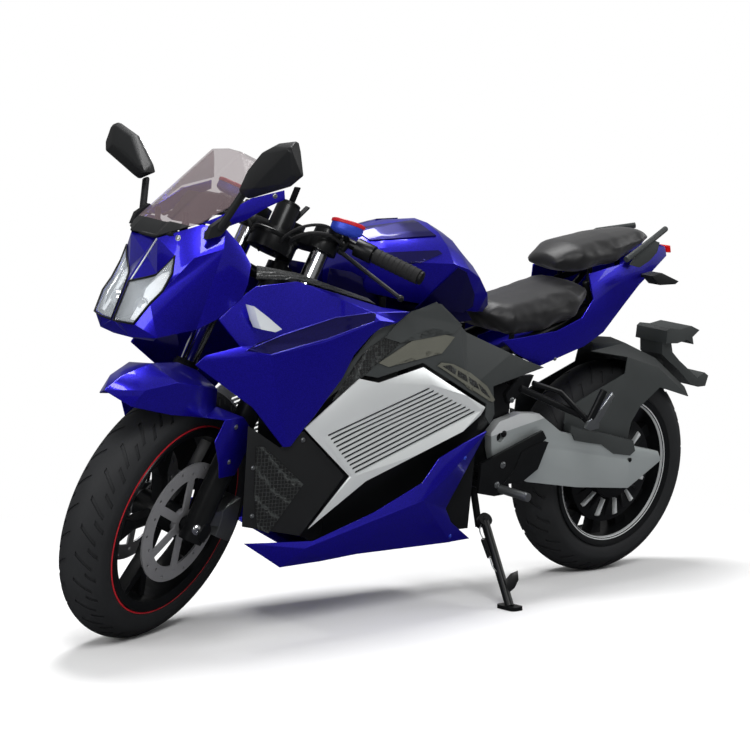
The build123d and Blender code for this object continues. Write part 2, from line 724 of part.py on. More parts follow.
def cushion(rows):
    """Soft pad lofted through rows of x, half width, low z, edge z and top z."""
    with BuildPart() as pad:
        for x, half, low, edge, top in rows:
            with BuildSketch(Plane(origin=at(x, 0, 0), x_dir=(0, 1, 0), z_dir=(1, 0, 0))):
                with BuildLine():
                    Polyline(*hump(half, edge, top), (6 - half, low), (half - 6, low), close=True)
                make_face()
        loft(ruled=True)
    return pad.part


with BuildPart() as rider_seat:
    add(cushion((
        (-166, 64, 722, 742, 752),
        (-215, 112, 690, 735, 762),
        (-320, 130, 706, 755, 786),
        (-420, 130, 738, 788, 813),
        (-468, 112, 782, 812, 830),
    )))

with BuildPart() as pillion_seat:
    add(cushion((
        (-384, 58, 850, 866, 882),
        (-450, 98, 852, 892, 914),
        (-580, 104, 880, 920, 942),
        (-690, 84, 922, 940, 957),
        (-745, 48, 938, 945, 954),
    )))

with BuildPart() as tail_fairing:
    add(facet_shell(
        {
            "a": (-163, 134, 680), "b": (-209, 134, 648), "c": (-300, 128, 611), "d": (-347, 127, 626),
            "e": (-455, 125, 660), "f": (-530, 115, 694), "g": (-611, 100, 764), "h": (-673, 90, 818),
            "i": (-724, 80, 850), "j": (-813, 48, 894), "t1": (-216, 131, 684), "t2": (-341, 138, 702),
            "t3": (-426, 136, 735), "t4": (-474, 122, 782), "t5": (-462, 108, 846), "t6": (-589, 100, 874),
            "t7": (-700, 76, 922), "t8": (-812, 40, 918),
            "m1": (-300, 0, 630), "m2": (-455, 0, 672), "m3": (-611, 0, 775), "m4": (-724, 0, 858),
            "m5": (-820, 0, 900), "m6": (-822, 0, 924),
        },
        [
            "a b t1", "t1 b c d t2", "t2 d e t3", "t3 e f t4", "t4 f g t6 t5", "t6 g h t7", "t7 h i j t8",
            "d c m1", "e d m1 m2", "f e m2", "g f m2 m3", "h g m3", "i h m3 m4", "j i m4 m5", "t8 j m5 m6",
        ],
        panel_wall, both=True))

with BuildPart() as grab_rails:
    for side in (1, -1):
        add(chain([at(-580, side * 119, 886), at(-690, side * 106, 944), at(-786, side * 56, 967)], 8))
        add(side_plate([(-605, 872), (-640, 866), (-676, 885), (-700, 908), (-706, 934), (-690, 938), (-630, 907)],
                       side * 108, side * 114))
        add(stud(at(-640, side * 111, 884), (0, -side, 0), 7, tail_fairing.part))

with BuildPart() as tail_light:
    add(side_plate([(-822.6, 902), (-842, 902), (-836, 922), (-822.6, 920)], -38, 38))

hugger_points = {
    "c1": (-548, 0, 664), "c2": (-680, 0, 662), "c3": (-802, 0, 620), "c4": (-936, 0, 532),
    "m1": (-554, 60, 657), "m2": (-676, 60, 655), "m3": (-802, 60, 611), "m4": (-940, 60, 525),
    "e1": (-521, 90, 641), "e2": (-656, 94, 622), "e3": (-782, 95, 590), "e4": (-920, 95, 505),
    "f2": (-650, 97, 578), "f3": (-562, 97, 541), "f4": (-492, 97, 511), "f5": (-441, 97, 486),
    "f6": (-440, 97, 450), "f7": (-498, 97, 433), "f8": (-563, 97, 424), "f9": (-690, 97, 395),
    "f10": (-695, 97, 440), "f11": (-724, 97, 483), "f12": (-795, 97, 535),
}
with BuildPart() as rear_hugger:
    add(facet_shell(
        round_wheel(hugger_points, rear_axle, drawn_rear_r),
        [
            "m1 m2 c2 c1", "m2 m3 c3 c2", "m3 m4 c4 c3", "e1 e2 m2 m1", "e2 e3 m3 m2", "e3 e4 m4 m3", "f12 e3 e2 f2",
            "f12 e4 e3", "f2 f3 f10 f11 f12", "f3 f4 f5 f6 f7 f8 f9 f10",
        ],
        3.0, both=True))
    for side in (1, -1):
        add(side_plate([(-444, 429.4), (-444, 449), (-498, 433), (-563, 424), (-688, 395), (-688, 380.4)],
                       side * 94, side * 119.3))
        add(side_plate(
            [(-444, 440), (-465, 408), (-503, 401), (-568, 391), (-618, 363), (-682, 354), (-700, 366), (-688, 395),
             (-563, 424), (-498, 433)],
            side * 115.3, side * 119.3))

with BuildPart() as plate_bracket:
    add(side_plate(
        [(-844, 656), (-851, 616), (-879, 598), (-921, 574), (-989, 525), (-1020, 518), (-1051, 520), (-1059, 550),
         (-1041, 560), (-1012, 545), (-925, 598), (-893, 622), (-880, 656)], -42, 42))
    add(side_plate(
        [(-843, 650), (-843, 685), (-854, 693), (-896, 690), (-941, 699), (-977, 687), (-951, 667), (-959, 646),
         (-930, 660), (-890, 650)], -58, 58))
    add(stud(at(-884, 0, 605), (-0.1, 0, -1), 14, rear_hugger.part))

# Small parts.
with BuildPart() as left_footrests:
    add(side_plate(
        [(-132, 372), (-132, 296), (-185, 285), (-238, 288), (-225, 330), (-345, 425), (-330, 445)],
        hanger_y, hanger_y + 10))
    add(side_plate(
        [(-351, 415), (-340, 418), (-290, 406), (-261, 394), (-243, 349), (-211, 315), (-269, 313), (-323, 346)],
        hanger_y + 9, hanger_y + 13))
    add(rod(at(-205, hanger_y + 8, 302), at(-216, 226, 302), 11))

with BuildPart() as left_pillion_footrests:
    add(side_plate([(-274, 592), (-260, 560), (-199, 520), (-186, 545), (-230, 590)], 126, 140))
    add(chain([at(-232, 138, 560), at(-412, 190, 490), at(-424, 200, 476)], 9))
    add(rod(at(-424, 200, 476), at(-448, 218, 562), 10))

mirror_arm_r = 8.0
with BuildPart() as left_mirror:
    add(chain([at(676, 172, 928), at(651, 213, 1004), at(672, 300, 1080)], mirror_arm_r))
    add(side_plate([(706, 906), (696, 932), (665, 953), (650, 941), (674, 914)], 160, 176))
    add(stud(at(684, 166, 922), (0, -1, -0.35), 10, nose_fairing.part))
    add(facet_block(
        {
            "a": (664, 268, 1064), "b": (664, 296, 1118), "c": (661, 372, 1136), "d": (657, 424, 1108),
            "e": (658, 432, 1078), "f": (664, 340, 1040), "n": (700, 350, 1088),
        },
        ["n a b", "n b c", "n c d", "n d e", "n e f", "n f a", "f e d c b a"]))

signal_outlines = {
    "front": [(612, 776), (600, 745), (590, 728), (556, 722), (540, 728), (580, 756)],
    "rear": [(-608, 852), (-643, 861), (-712, 840), (-700, 832), (-641, 829)],
}
with BuildPart() as turn_signals:
    for side in (1, -1):
        add(side_plate(signal_outlines["front"], side * 190, side * 224))
        add(stud(at(588, side * 194, 744), (0, -side, 0), 7, left_side_fairing.part if side > 0 else mirrored(left_side_fairing.part)))
        add(side_plate(signal_outlines["rear"], side * 150, side * 190))
        add(stud(at(-683, side * 154, 843), (0, -side, 0), 6, tail_fairing.part))

fender_points = {
    "t0": (972, 0, 628), "t1": (925, 0, 650), "t2": (835, 0, 664), "t3": (740, 0, 652), "t4": (660, 0, 622),
    "s0": (930, 42, 600), "s1": (823, 66, 572), "s2": (708, 74, 548), "s3": (655, 62, 560),
    "m1": (900, 46, 632), "m2": (820, 64, 642), "m3": (735, 68, 622), "m4": (660, 60, 600),
    "a0": (640, 127.3, 556), "a1": (712, 127.3, 564), "a2": (734, 127.3, 517), "a3": (700, 127.3, 460),
    "a4": (686, 127.3, 423), "a5": (625, 127.3, 417), "a6": (580, 127.3, 505),
}
with BuildPart() as front_fender:
    add(facet_shell(
        round_wheel(fender_points, front_axle, drawn_front_r),
        [
            "t0 s0 m1", "t0 m1 t1", "t1 m1 m2 t2", "t2 m2 m3 t3", "t3 m3 m4 t4", "m1 s0 s1 m2", "m2 s1 s2 m3",
            "m3 s2 s3 m4", "s2 a1 a0 s3", "a0 a1 a2 a3 a4 a5 a6",
        ],
        3.0, both=True))

with BuildPart() as front_calipers:
    for side in (1, -1):
        add(side_plate(sector(front_axle, disc_r - 42, disc_r + 26, 168, 206, 5), side * (disc_y + 8), side * (disc_y + 38)))
        add(side_plate(sector(front_axle, disc_r + 8, disc_r + 26, 168, 206, 5), side * (disc_y - 20), side * (disc_y + 38)))
        add(side_plate(sector(front_axle, disc_r - 42, disc_r + 26, 168, 206, 5), side * (disc_y - 20), side * (disc_y - 8)))
        lug = on_fork(axle_s + 22, fork_ahead - lower_leg_r - seat_gap, side * leg_spacing)
        add(side_plate(
            [(front_axle_x - disc_r + 30, front_tyre_r + 16), (front_axle_x - disc_r + 30, front_tyre_r - 24),
             (lug[0], lug[2] - 14), (lug[0] - 12, lug[2] + 14)],
            side * (disc_y + 24), side * (disc_y + 36)))


# Frame with its stays and posts, each ending a seating gap short of what it carries.
head_r_out = 30.0
head_low_s = lower_clamp_s + clamp_t + 8.0
head_high_s = upper_clamp_s - 46.0 - 8.0

panel_studs = (
    # x, side, z of the root, its way, radius, panel
    (40, 110, 655, (0, 1, 0), 6, left_frame_cover),
    (-150, 110, 615, (0, 1, 0.1), 5, left_frame_cover),
    (335, 110, 765, (0, 1, 0), 6, left_side_fairing),
    (40, 106, 670, (0, 0, 1), 8, tank_cover),
    (190, 100, 722, (0, 0, 1), 8, tank_cover),
    (-320, 88, 684, (0, 0, 1), 7, rider_seat),
    (-225, 96, 655, (0, 0, 1), 7, rider_seat),
    (-540, 68, 754, (0, 1, 0.1), 7, tail_fairing),
    (-330, 88, 686, (0, 1, 0), 7, tail_fairing),
    (-515, 55, 819, (0, 0, 1), 7, pillion_seat),
    (-620, 50, 850, (0, 0, 1), 7, pillion_seat),
    (-148, 104, 340, (0, 1, 0), 6, left_footrests),
    (690, 104, 897, (0, 1, 0), 7, nose_fairing),
    (695, 62, 900, (0, 0, 1), 6, windscreen),
)
with BuildPart() as main_frame:
    with BuildSketch(fork_plane(head_low_s, 0, 0)):
        Circle(head_r_out)
    extrude(amount=head_high_s - head_low_s)
    add(side_plate([(440, 772), (424, 808), (330, 800), (250, 770), (250, 705), (345, 722), (420, 755)], -44, 44))
    add(side_plate([(345, 795), (250, 765), (250, 705), (345, 722)], -125, 125))
    for side in (1, -1):
        add(side_plate(
            [(345, 795), (120, 702), (-150, 645), (-250, 585), (-235, 560), (-150, 590), (140, 640), (345, 722)],
            side * 95, side * 125))
        add(side_plate(
            [(-150, 645), (-250, 585), (-262, 330), (-215, 300), (-135, 300), (-135, 420), (-150, 590)],
            side * 60, side * 84))
        add(side_plate([(-150, 645), (-245, 588), (-240, 560), (-150, 590)], side * 60, side * 125))
        add(rod(at(-160, side * 105, 632), at(-540, side * 68, 754), 14))
        add(rod(at(-238, side * 98, 570), at(-268, side * 94, 662), 11))
        add(chain([at(-520, side * 70, 748), at(-505, side * 56, 815), at(-620, side * 50, 850)], 9))
        add(rod(at(-540, side * 68, 754), at(-620, side * 50, 850), 9))
        for z in (352, 312):
            add(rod(at(-148, side * 70, z), at(-148, side * (hanger_y - seat_gap), z), 9))
    for x, z, half in ((-540, 754, 68), (-200, 600, 100), (-180, 330, 70)):
        add(rod(at(x, -half, z), at(x, half, z), 12))
    add(rod(at(pivot_x, -arm_y, pivot_z), at(pivot_x, arm_y, pivot_z), pivot_r))
    stay_root = on_fork(876, 20, 0)
    stay_bend = on_fork(876, 130, 0)
    add(chain([stay_root, stay_bend, at(690, 0, 897)], 13))
    add(rod(at(690, -106, 897), at(690, 106, 897), 9))
    for x, y, z, way, radius, panel in panel_studs:
        for side in (1, -1):
            carried = panel.part if side > 0 else mirrored(panel.part)
            add(stud(at(x, side * y, z), (way[0], side * way[1], way[2]), radius, carried))
    with BuildSketch(fork_plane(head_low_s - 1, 0, 0)):
        Circle(stem_r + seat_gap)
    extrude(amount=head_high_s - head_low_s + 2, mode=Mode.SUBTRACT)
    add(rod(at(-160, 75, 315), stand_pin_root, 9))
    add(rod(stand_pin_root, stand_pin_end, stand_pin_r))
    add(rod(at(-150, 72, 470), (along(battery_rear) - seat_gap, 72, 470), 10))
    add(rod(at(-150, -72, 470), (along(battery_rear) - seat_gap, -72, 470), 10))
    for side in (1, -1):
        add(rod(at(120, side * 110, 665), at(120, side * 110, battery_top + seat_gap), 12))

battery_studs = (
    # x, side, z of the root, its way, radius, panel
    (60, 140, 570, (0, 1, 0.18), 5, left_battery_panel),
    (0, 140, 484, (0, 1, 0), 4, left_battery_panel),
    (330, 140, 400, (0.6, 0.62, 0), 6, left_front_duct),
    (330, 140, 575, (0.16, 1, 0.88), 5, left_frame_cover),
    (150, 60, 225, (0, 0, -1), 8, belly_pan),
    (0, 60, 225, (0, 0, -1), 8, belly_pan),
)
with BuildPart() as battery_box:
    with Locations(at((battery_front + battery_rear) / 2, 0, (battery_floor + battery_top) / 2)):
        Box(along(battery_front) - along(battery_rear), 2 * battery_half, battery_top - battery_floor)
    for x, y, z, way, radius, panel in battery_studs:
        for side in (1, -1):
            carried = panel.part if side > 0 else mirrored(panel.part)
            add(stud(at(x, side * y, z), (way[0], side * way[1], way[2]), radius, carried))

with BuildPart() as instrument_panel:
    add(side_plate([(655, 925), (668, 932), (620, 992), (606, 986)], -72, 72))
    add(rod(at(655, 0, 940), at(666.2, 0, 903.6), 8))


def right_of(piece):
    with BuildPart() as other:
        add(mirrored(piece.part))
    return other


right_side_fairing = right_of(left_side_fairing)
right_frame_cover = right_of(left_frame_cover)
right_battery_panel = right_of(left_battery_panel)
right_front_duct = right_of(left_front_duct)
right_footrests = right_of(left_footrests)
right_pillion_footrests = right_of(left_pillion_footrests)
right_mirror = right_of(left_mirror)

fixed_pieces = {
    "main_frame": main_frame, "battery_box": battery_box, "swingarm": swingarm, "shock": shock,
    "nose_fairing": nose_fairing, "headlights": headlights, "windscreen": windscreen,
    "left_side_fairing": left_side_fairing, "right_side_fairing": right_side_fairing,
    "left_frame_cover": left_frame_cover, "right_frame_cover": right_frame_cover,
    "left_battery_panel": left_battery_panel, "right_battery_panel": right_battery_panel,
    "left_front_duct": left_front_duct, "right_front_duct": right_front_duct, "belly_pan": belly_pan,
    "cockpit_cover": cockpit_cover, "tank_cover": tank_cover, "rider_seat": rider_seat,
    "pillion_seat": pillion_seat, "tail_fairing": tail_fairing, "grab_rails": grab_rails,
    "tail_light": tail_light, "rear_hugger": rear_hugger, "plate_bracket": plate_bracket,
    "left_footrests": left_footrests, "right_footrests": right_footrests,
    "left_pillion_footrests": left_pillion_footrests, "right_pillion_footrests": right_pillion_footrests,
    "left_mirror": left_mirror, "right_mirror": right_mirror, "turn_signals": turn_signals,
    "stand_leg": stand_leg, "instrument_panel": instrument_panel,
}
steered_pieces = {
    "fork_legs": fork_legs, "triple_clamps": triple_clamps, "handlebars": handlebars,
    "front_fender": front_fender, "front_calipers": front_calipers, "brake_hoses": brake_hoses,
}
front_wheel_pieces = {"front_tyre": front_tyre, "front_rim": front_rim, "front_discs": front_discs}
rear_wheel_pieces = {"rear_tyre": rear_tyre, "rear_rim_motor": rear_rim_motor}

placed = {}
for name, piece in fixed_pieces.items():
    placed[name] = piece.part
for name, piece in steered_pieces.items():
    placed[name] = steered(piece.part)
for name, piece in front_wheel_pieces.items():
    placed[name] = steered(piece.part.moved(Location(front_axle)))
for name, piece in rear_wheel_pieces.items():
    placed[name] = piece.part.moved(Location(rear_axle))

boxes = []
for name in placed:
    placed[name] = placed[name].moved(bike_place)
    boxes.append(placed[name].bounding_box())
centre_x = (min(b.min.X for b in boxes) + max(b.max.X for b in boxes)) / 2
centre_y = (min(b.min.Y for b in boxes) + max(b.max.Y for b in boxes)) / 2
to_origin = Location((-centre_x, -centre_y, 0))

for name, shape in placed.items():
    solid = shape.moved(to_origin)
    solid.label = name
    export_step(solid, "parts/" + name + ".step")
print("pieces", len(placed), "pitch", round(pitch_deg, 3), "centre", round(centre_x, 1), round(centre_y, 1))
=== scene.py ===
import bpy
import bmesh
import json
import math
from mathutils import Matrix, Vector


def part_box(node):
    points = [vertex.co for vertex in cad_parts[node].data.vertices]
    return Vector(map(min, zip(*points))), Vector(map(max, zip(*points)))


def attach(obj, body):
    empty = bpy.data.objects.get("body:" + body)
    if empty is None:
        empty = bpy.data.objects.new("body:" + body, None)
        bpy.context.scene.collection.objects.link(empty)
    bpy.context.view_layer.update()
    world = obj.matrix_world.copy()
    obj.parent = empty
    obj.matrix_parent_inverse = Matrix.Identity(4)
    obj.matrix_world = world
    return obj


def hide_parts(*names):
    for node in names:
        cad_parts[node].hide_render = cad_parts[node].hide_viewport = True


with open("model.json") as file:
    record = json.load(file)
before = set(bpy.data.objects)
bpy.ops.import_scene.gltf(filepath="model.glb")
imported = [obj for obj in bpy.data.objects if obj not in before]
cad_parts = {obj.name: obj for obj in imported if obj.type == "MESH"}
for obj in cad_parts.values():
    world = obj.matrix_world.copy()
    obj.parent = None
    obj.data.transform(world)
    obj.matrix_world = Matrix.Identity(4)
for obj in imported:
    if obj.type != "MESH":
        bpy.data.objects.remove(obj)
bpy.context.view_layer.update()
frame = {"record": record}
scene = bpy.context.scene
cadNodes = {obj.name: obj for obj in scene.objects if obj.type == "MESH"}
joints = {joint["name"]: joint for joint in frame["record"]["behaviour"]["joints"]}
bodies = frame["record"]["behaviour"]["bodies"]
print("frame loaded, nodes:", len(cadNodes))

# The bike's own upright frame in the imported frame: x forward, y left, z up from the ground at mid wheelbase.
rake = math.radians(24.0)
rearAxle = Vector(joints["rear_wheel_spin"]["pos_m"])
sideWay = Vector(joints["rear_wheel_spin"]["axis"]).normalized()
steerWay = Vector(joints["steering"]["axis"]).normalized()
steerPoint = Vector(joints["steering"]["pos_m"])
aheadWay = sideWay.cross(steerWay).normalized()
bikeX = aheadWay * math.cos(rake) - steerWay * math.sin(rake)
bikeZ = steerWay * math.cos(rake) + aheadWay * math.sin(rake)
bikeOrigin = rearAxle + bikeX * 0.690 - bikeZ * 0.300
bikeToRow = Matrix.Translation(bikeOrigin) @ Matrix((bikeX, sideWay, bikeZ)).transposed().to_4x4()
steeredToRow = (Matrix.Translation(steerPoint) @ Matrix.Rotation(math.radians(28.0), 4, steerWay)
                @ Matrix.Translation(-steerPoint) @ bikeToRow)


def wheelPlace(jointName):
    # matrix from a wheel's own frame, its axle along y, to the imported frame
    joint = joints[jointName]
    axle = Vector(joint["axis"]).normalized()
    up = (Vector((0, 0, 1)) - axle * axle.z).normalized()
    turn = Matrix((axle.cross(up), axle, up)).transposed().to_4x4()
    return Matrix.Translation(Vector(joint["pos_m"])) @ turn


def hexColour(code):
    # sRGB hex to the linear values that a shader takes
    values = [int(code[i:i + 2], 16) / 255 for i in (1, 3, 5)]
    return tuple(v / 12.92 if v <= 0.04045 else ((v + 0.055) / 1.055) ** 2.4 for v in values) + (1.0,)


def addNode(tree, kind, settings=None, links=None):
    # one node with its socket values, its own settings and the sockets that feed it
    node = tree.nodes.new(kind)
    for name, value in (settings or {}).items():
        if name in node.inputs.keys():
            node.inputs[name].default_value = value
        else:
            setattr(node, name, value)
    for name, source in (links or {}).items():
        tree.links.new(source, node.inputs[name])
    return node


def newMaterial(name):
    material = bpy.data.materials.new(name)
    material.use_nodes = True
    tree = material.node_tree
    shader = tree.nodes["Principled BSDF"]
    place = addNode(tree, "ShaderNodeTexCoord")
    return material, tree, shader, place


def setSockets(shader, values):
    for name, value in values.items():
        shader.inputs[name].default_value = value


# metallic royal blue car paint under clear lacquer: deep, with a fine flake sparkle
bluePaint = {"flakeSize": 0.0011, "roughness": 0.32, "coat": 0.5}


def makeBluePaint(name, base, flake):
    material, tree, shader, place = newMaterial(name)
    grains = addNode(tree, "ShaderNodeTexVoronoi", {"Scale": 1 / bluePaint["flakeSize"]},
                     {"Vector": place.outputs["Object"]})
    tint = addNode(tree, "ShaderNodeMix", {"data_type": "RGBA"})
    tint.inputs[6].default_value = hexColour(base)
    tint.inputs[7].default_value = hexColour(flake)
    amount = addNode(tree, "ShaderNodeMath", {"operation": "MULTIPLY"})
    tree.links.new(grains.outputs["Color"], amount.inputs[0])
    amount.inputs[1].default_value = 0.55
    tree.links.new(amount.outputs[0], tint.inputs[0])
    tree.links.new(tint.outputs[2], shader.inputs["Base Color"])
    setSockets(shader, {"Metallic": 0.8, "Roughness": bluePaint["roughness"], "Coat Weight": bluePaint["coat"],
                        "Coat Roughness": 0.04})
    return material


def makeGrained(name, colour, light, grain, roughness, bump, metallic=0.0, sheen=0.0):
    # moulded or coated surface with a fine grain in colour, gloss and relief
    material, tree, shader, place = newMaterial(name)
    speckle = addNode(tree, "ShaderNodeTexNoise", {"Scale": 1 / grain, "Detail": 4.0, "Roughness": 0.6},
                      {"Vector": place.outputs["Object"]})
    cloud = addNode(tree, "ShaderNodeTexNoise", {"Scale": 9.0, "Detail": 3.0}, {"Vector": place.outputs["Object"]})
    tint = addNode(tree, "ShaderNodeMix", {"data_type": "RGBA"})
    tint.inputs[6].default_value = hexColour(colour)
    tint.inputs[7].default_value = hexColour(light)
    tree.links.new(cloud.outputs["Fac"], tint.inputs[0])
    tree.links.new(tint.outputs[2], shader.inputs["Base Color"])
    gloss = addNode(tree, "ShaderNodeMapRange", {"To Min": roughness - 0.05, "To Max": roughness + 0.07},
                    {"Value": speckle.outputs["Fac"]})
    tree.links.new(gloss.outputs[0], shader.inputs["Roughness"])
    relief = addNode(tree, "ShaderNodeBump", {"Strength": bump, "Distance": 0.0004},
                     {"Height": speckle.outputs["Fac"]})
    tree.links.new(relief.outputs[0], shader.inputs["Normal"])
    setSockets(shader, {"Metallic": metallic, "Sheen Weight": sheen,
                        "Specular IOR Level": 0.5 if metallic else 0.22})
    return material


def makeClear(name, colour, roughness, alpha):
    # clear or smoked polycarbonate, thin enough that it barely bends light
    material, tree, shader, place = newMaterial(name)
    haze = addNode(tree, "ShaderNodeTexNoise", {"Scale": 60.0}, {"Vector": place.outputs["Object"]})
    gloss = addNode(tree, "ShaderNodeMapRange", {"To Min": roughness, "To Max": roughness + 0.04},
                    {"Value": haze.outputs["Fac"]})
    tree.links.new(gloss.outputs[0], shader.inputs["Roughness"])
    setSockets(shader, {"Base Color": hexColour(colour), "IOR": 1.25,
                        "Alpha": alpha, "Specular IOR Level": 0.6})
    return material


def makeHexPlastic():
    # black moulded plastic with a raised honeycomb, its hollows painted darker than its ridges: painted shade
    material, tree, shader, place = newMaterial("hexPlastic")
    cells = addNode(tree, "ShaderNodeTexVoronoi", {"feature": "DISTANCE_TO_EDGE", "Scale": 120.0, "Randomness": 0.2},
                    {"Vector": place.outputs["Object"]})
    ridge = addNode(tree, "ShaderNodeMapRange", {"From Min": 0.0, "From Max": 0.12},
                    {"Value": cells.outputs["Distance"]})
    relief = addNode(tree, "ShaderNodeBump", {"Strength": 1.0, "Distance": 0.0016}, {"Height": ridge.outputs[0]})
    tree.links.new(relief.outputs[0], shader.inputs["Normal"])
    # painted shade: grey on the ridges, near black in the hollows
    tint = addNode(tree, "ShaderNodeMix", {"data_type": "RGBA"})
    tint.inputs[6].default_value = hexColour("#2E3231")
    tint.inputs[7].default_value = hexColour("#0C0D0D")
    tree.links.new(ridge.outputs[0], tint.inputs[0])
    tree.links.new(tint.outputs[2], shader.inputs["Base Color"])
    setSockets(shader, {"Roughness": 0.5})
    return material


finishes = {
    "bluePaint": makeBluePaint("bluePaint", "#120A8C", "#3020F0"),
    # painted shade: the same paint darkened nearly to black, for recessed steps and sheets in shadow
    "bluePaintedShade": makeBluePaint("bluePaintedShade", "#0A0440", "#150C78"),
    # painted highlight: a paler copy of the same paint for bright lines along crease edges
    "bluePaintedHighlight": makeBluePaint("bluePaintedHighlight", "#4A44E0", "#7C78F4"),
    # painted light: a paler copy of the grey plastic for the lit upper shoulder of the matte cover
    "shoulderLitGrey": makeGrained("shoulderLitGrey", "#4C4C45", "#58584F", 0.0016, 0.5, 0.25),
    # turned brake disc, brushed by the pads
    "discSteel": makeGrained("discSteel", "#77777A", "#8C8C8E", 0.0008, 0.36, 0.2, metallic=0.4),
    # painted reflection: white for the plate that stands for a light's reflection in the headlamp
    "lampPaintedReflection": makeGrained("lampPaintedReflection", "#EEF1F3", "#F8FAFB", 0.002, 0.2, 0.02),
    "lensSilver": makeGrained("lensSilver", "#C6CBD0", "#E4E8EC", 0.003, 0.16, 0.3, metallic=0.35),
    # ABS with a matte spark grain
    "greyPlastic": makeGrained("greyPlastic", "#2C2F2F", "#353838", 0.0016, 0.55, 0.25),
    "blackPlastic": makeGrained("blackPlastic", "#121314", "#1A1B1C", 0.0014, 0.5, 0.2),
    "seatVinyl": makeGrained("seatVinyl", "#101011", "#19191A", 0.0022, 0.42, 0.35, sheen=0.15),
    "tyreRubber": makeGrained("tyreRubber", "#191A1B", "#232426", 0.0018, 0.62, 0.3),
    "blackEnamel": makeGrained("blackEnamel", "#0B0C0D", "#121314", 0.0012, 0.3, 0.1),
    # bead-blasted aluminium under a satin silver coat
    "silverCoat": makeGrained("silverCoat", "#D2D5D5", "#DCDFDF", 0.0012, 0.36, 0.08, metallic=0.55),
    "greySilver": makeGrained("greySilver", "#9FA5A5", "#AAB0B0", 0.0012, 0.38, 0.08, metallic=0.55),
    "groundSteel": makeGrained("groundSteel", "#7F8283", "#999C9D", 0.001, 0.3, 0.15, metallic=0.9),
    "chromeSteel": makeGrained("chromeSteel", "#D8DADC", "#E4E6E8", 0.002, 0.1, 0.02, metallic=1.0),
    "smokedScreen": makeClear("smokedScreen", "#6E6063", 0.04, 0.42),
    "clearLens": makeClear("clearLens", "#DDE4EA", 0.03, 0.22),
    "redLens": makeClear("redLens", "#B01010", 0.1, 1.0),
    "redPaint": makeGrained("redPaint", "#98141E", "#AA1E28", 0.001, 0.3, 0.05),
    "blueCup": makeGrained("blueCup", "#2438A0", "#2C44B8", 0.001, 0.35, 0.05, metallic=0.4),
    "gripRubber": makeGrained("gripRubber", "#141415", "#1C1C1D", 0.002, 0.7, 0.5),
    "hexPlastic": makeHexPlastic(),
}

nodeFinish = {
    "bluePaint": ["nose_fairing", "left_side_fairing", "right_side_fairing", "belly_pan", "tank_cover",
                  "tail_fairing", "front_fender"],
    "greyPlastic": ["left_frame_cover", "right_frame_cover", "rear_hugger"],
    "blackPlastic": ["left_front_duct", "right_front_duct", "cockpit_cover", "plate_bracket", "left_mirror",
                     "right_mirror", "turn_signals"],
    "seatVinyl": ["rider_seat", "pillion_seat"],
    "tyreRubber": ["front_tyre", "rear_tyre"],
    "blackEnamel": ["main_frame", "battery_box", "shock", "left_footrests", "right_footrests",
                    "left_pillion_footrests", "right_pillion_footrests", "stand_leg", "fork_legs", "triple_clamps",
                    "handlebars", "front_rim", "rear_rim_motor"],
    "silverCoat": ["left_battery_panel", "right_battery_panel"],
    "greySilver": ["swingarm", "grab_rails", "front_calipers"],
    "discSteel": ["front_discs"],
    "smokedScreen": ["windscreen"],
    "clearLens": ["headlights"],
    "redLens": ["tail_light"],
}
for finish, names in nodeFinish.items():
    for name in names:
        if name in cadNodes:
            cadNodes[name].data.materials.clear()
            cadNodes[name].data.materials.append(finishes[finish])
print("finishes set")


def deselect():
    if bpy.context.object and bpy.context.object.mode != "OBJECT":
        bpy.ops.object.mode_set(mode="OBJECT")
    bpy.ops.object.select_all(action="DESELECT")


def pickUp(obj):
    deselect()
    obj.select_set(True)
    bpy.context.view_layer.objects.active = obj


def bodyOf(node):
    return next(body for body, nodes in bodies.items() if node in nodes)


def finishPiece(piece, body, finish):
    # gives a finished piece its material and its body
    if finish:
        piece.data.materials.clear()
        piece.data.materials.append(finishes[finish])
    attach(piece, body)
    return piece


def workedCopy(node, finish, suffix="skin"):
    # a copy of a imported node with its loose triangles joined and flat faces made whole
    source = cadNodes[node]
    piece = source.copy()
    piece.data = source.data.copy()
    piece.name = node + "_" + suffix
    scene.collection.objects.link(piece)
    pickUp(piece)
    bpy.ops.object.mode_set(mode="EDIT")
    bpy.ops.mesh.select_all(action="SELECT")
    bpy.ops.mesh.remove_doubles(threshold=0.00005)
    bpy.ops.mesh.dissolve_limited(angle_limit=math.radians(0.6))
    bpy.ops.object.mode_set(mode="OBJECT")
    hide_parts(node)
    return finishPiece(piece, bodyOf(node), finish)


def applyModifier(piece, kind, **settings):
    pickUp(piece)
    modifier = piece.modifiers.new(kind.title(), kind)
    for name, value in settings.items():
        setattr(modifier, name, value)
    bpy.ops.object.modifier_apply(modifier=modifier.name)


def smoothShade(piece, angle=35):
    pickUp(piece)
    bpy.ops.object.shade_smooth_by_angle(angle=math.radians(angle))


def softenEdges(piece, width, segments=3, angle=14, shade=32):
    applyModifier(piece, "BEVEL", width=width, segments=segments, limit_method="ANGLE",
                  angle_limit=math.radians(angle), use_clamp_overlap=True)
    smoothShade(piece, shade)


def pieceFrom(mesh, name, place):
    # a new object from a bmesh drawn in a local frame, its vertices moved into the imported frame
    mesh.transform(place)
    data = bpy.data.meshes.new(name)
    mesh.to_mesh(data)
    mesh.free()
    piece = bpy.data.objects.new(name, data)
    scene.collection.objects.link(piece)
    return piece


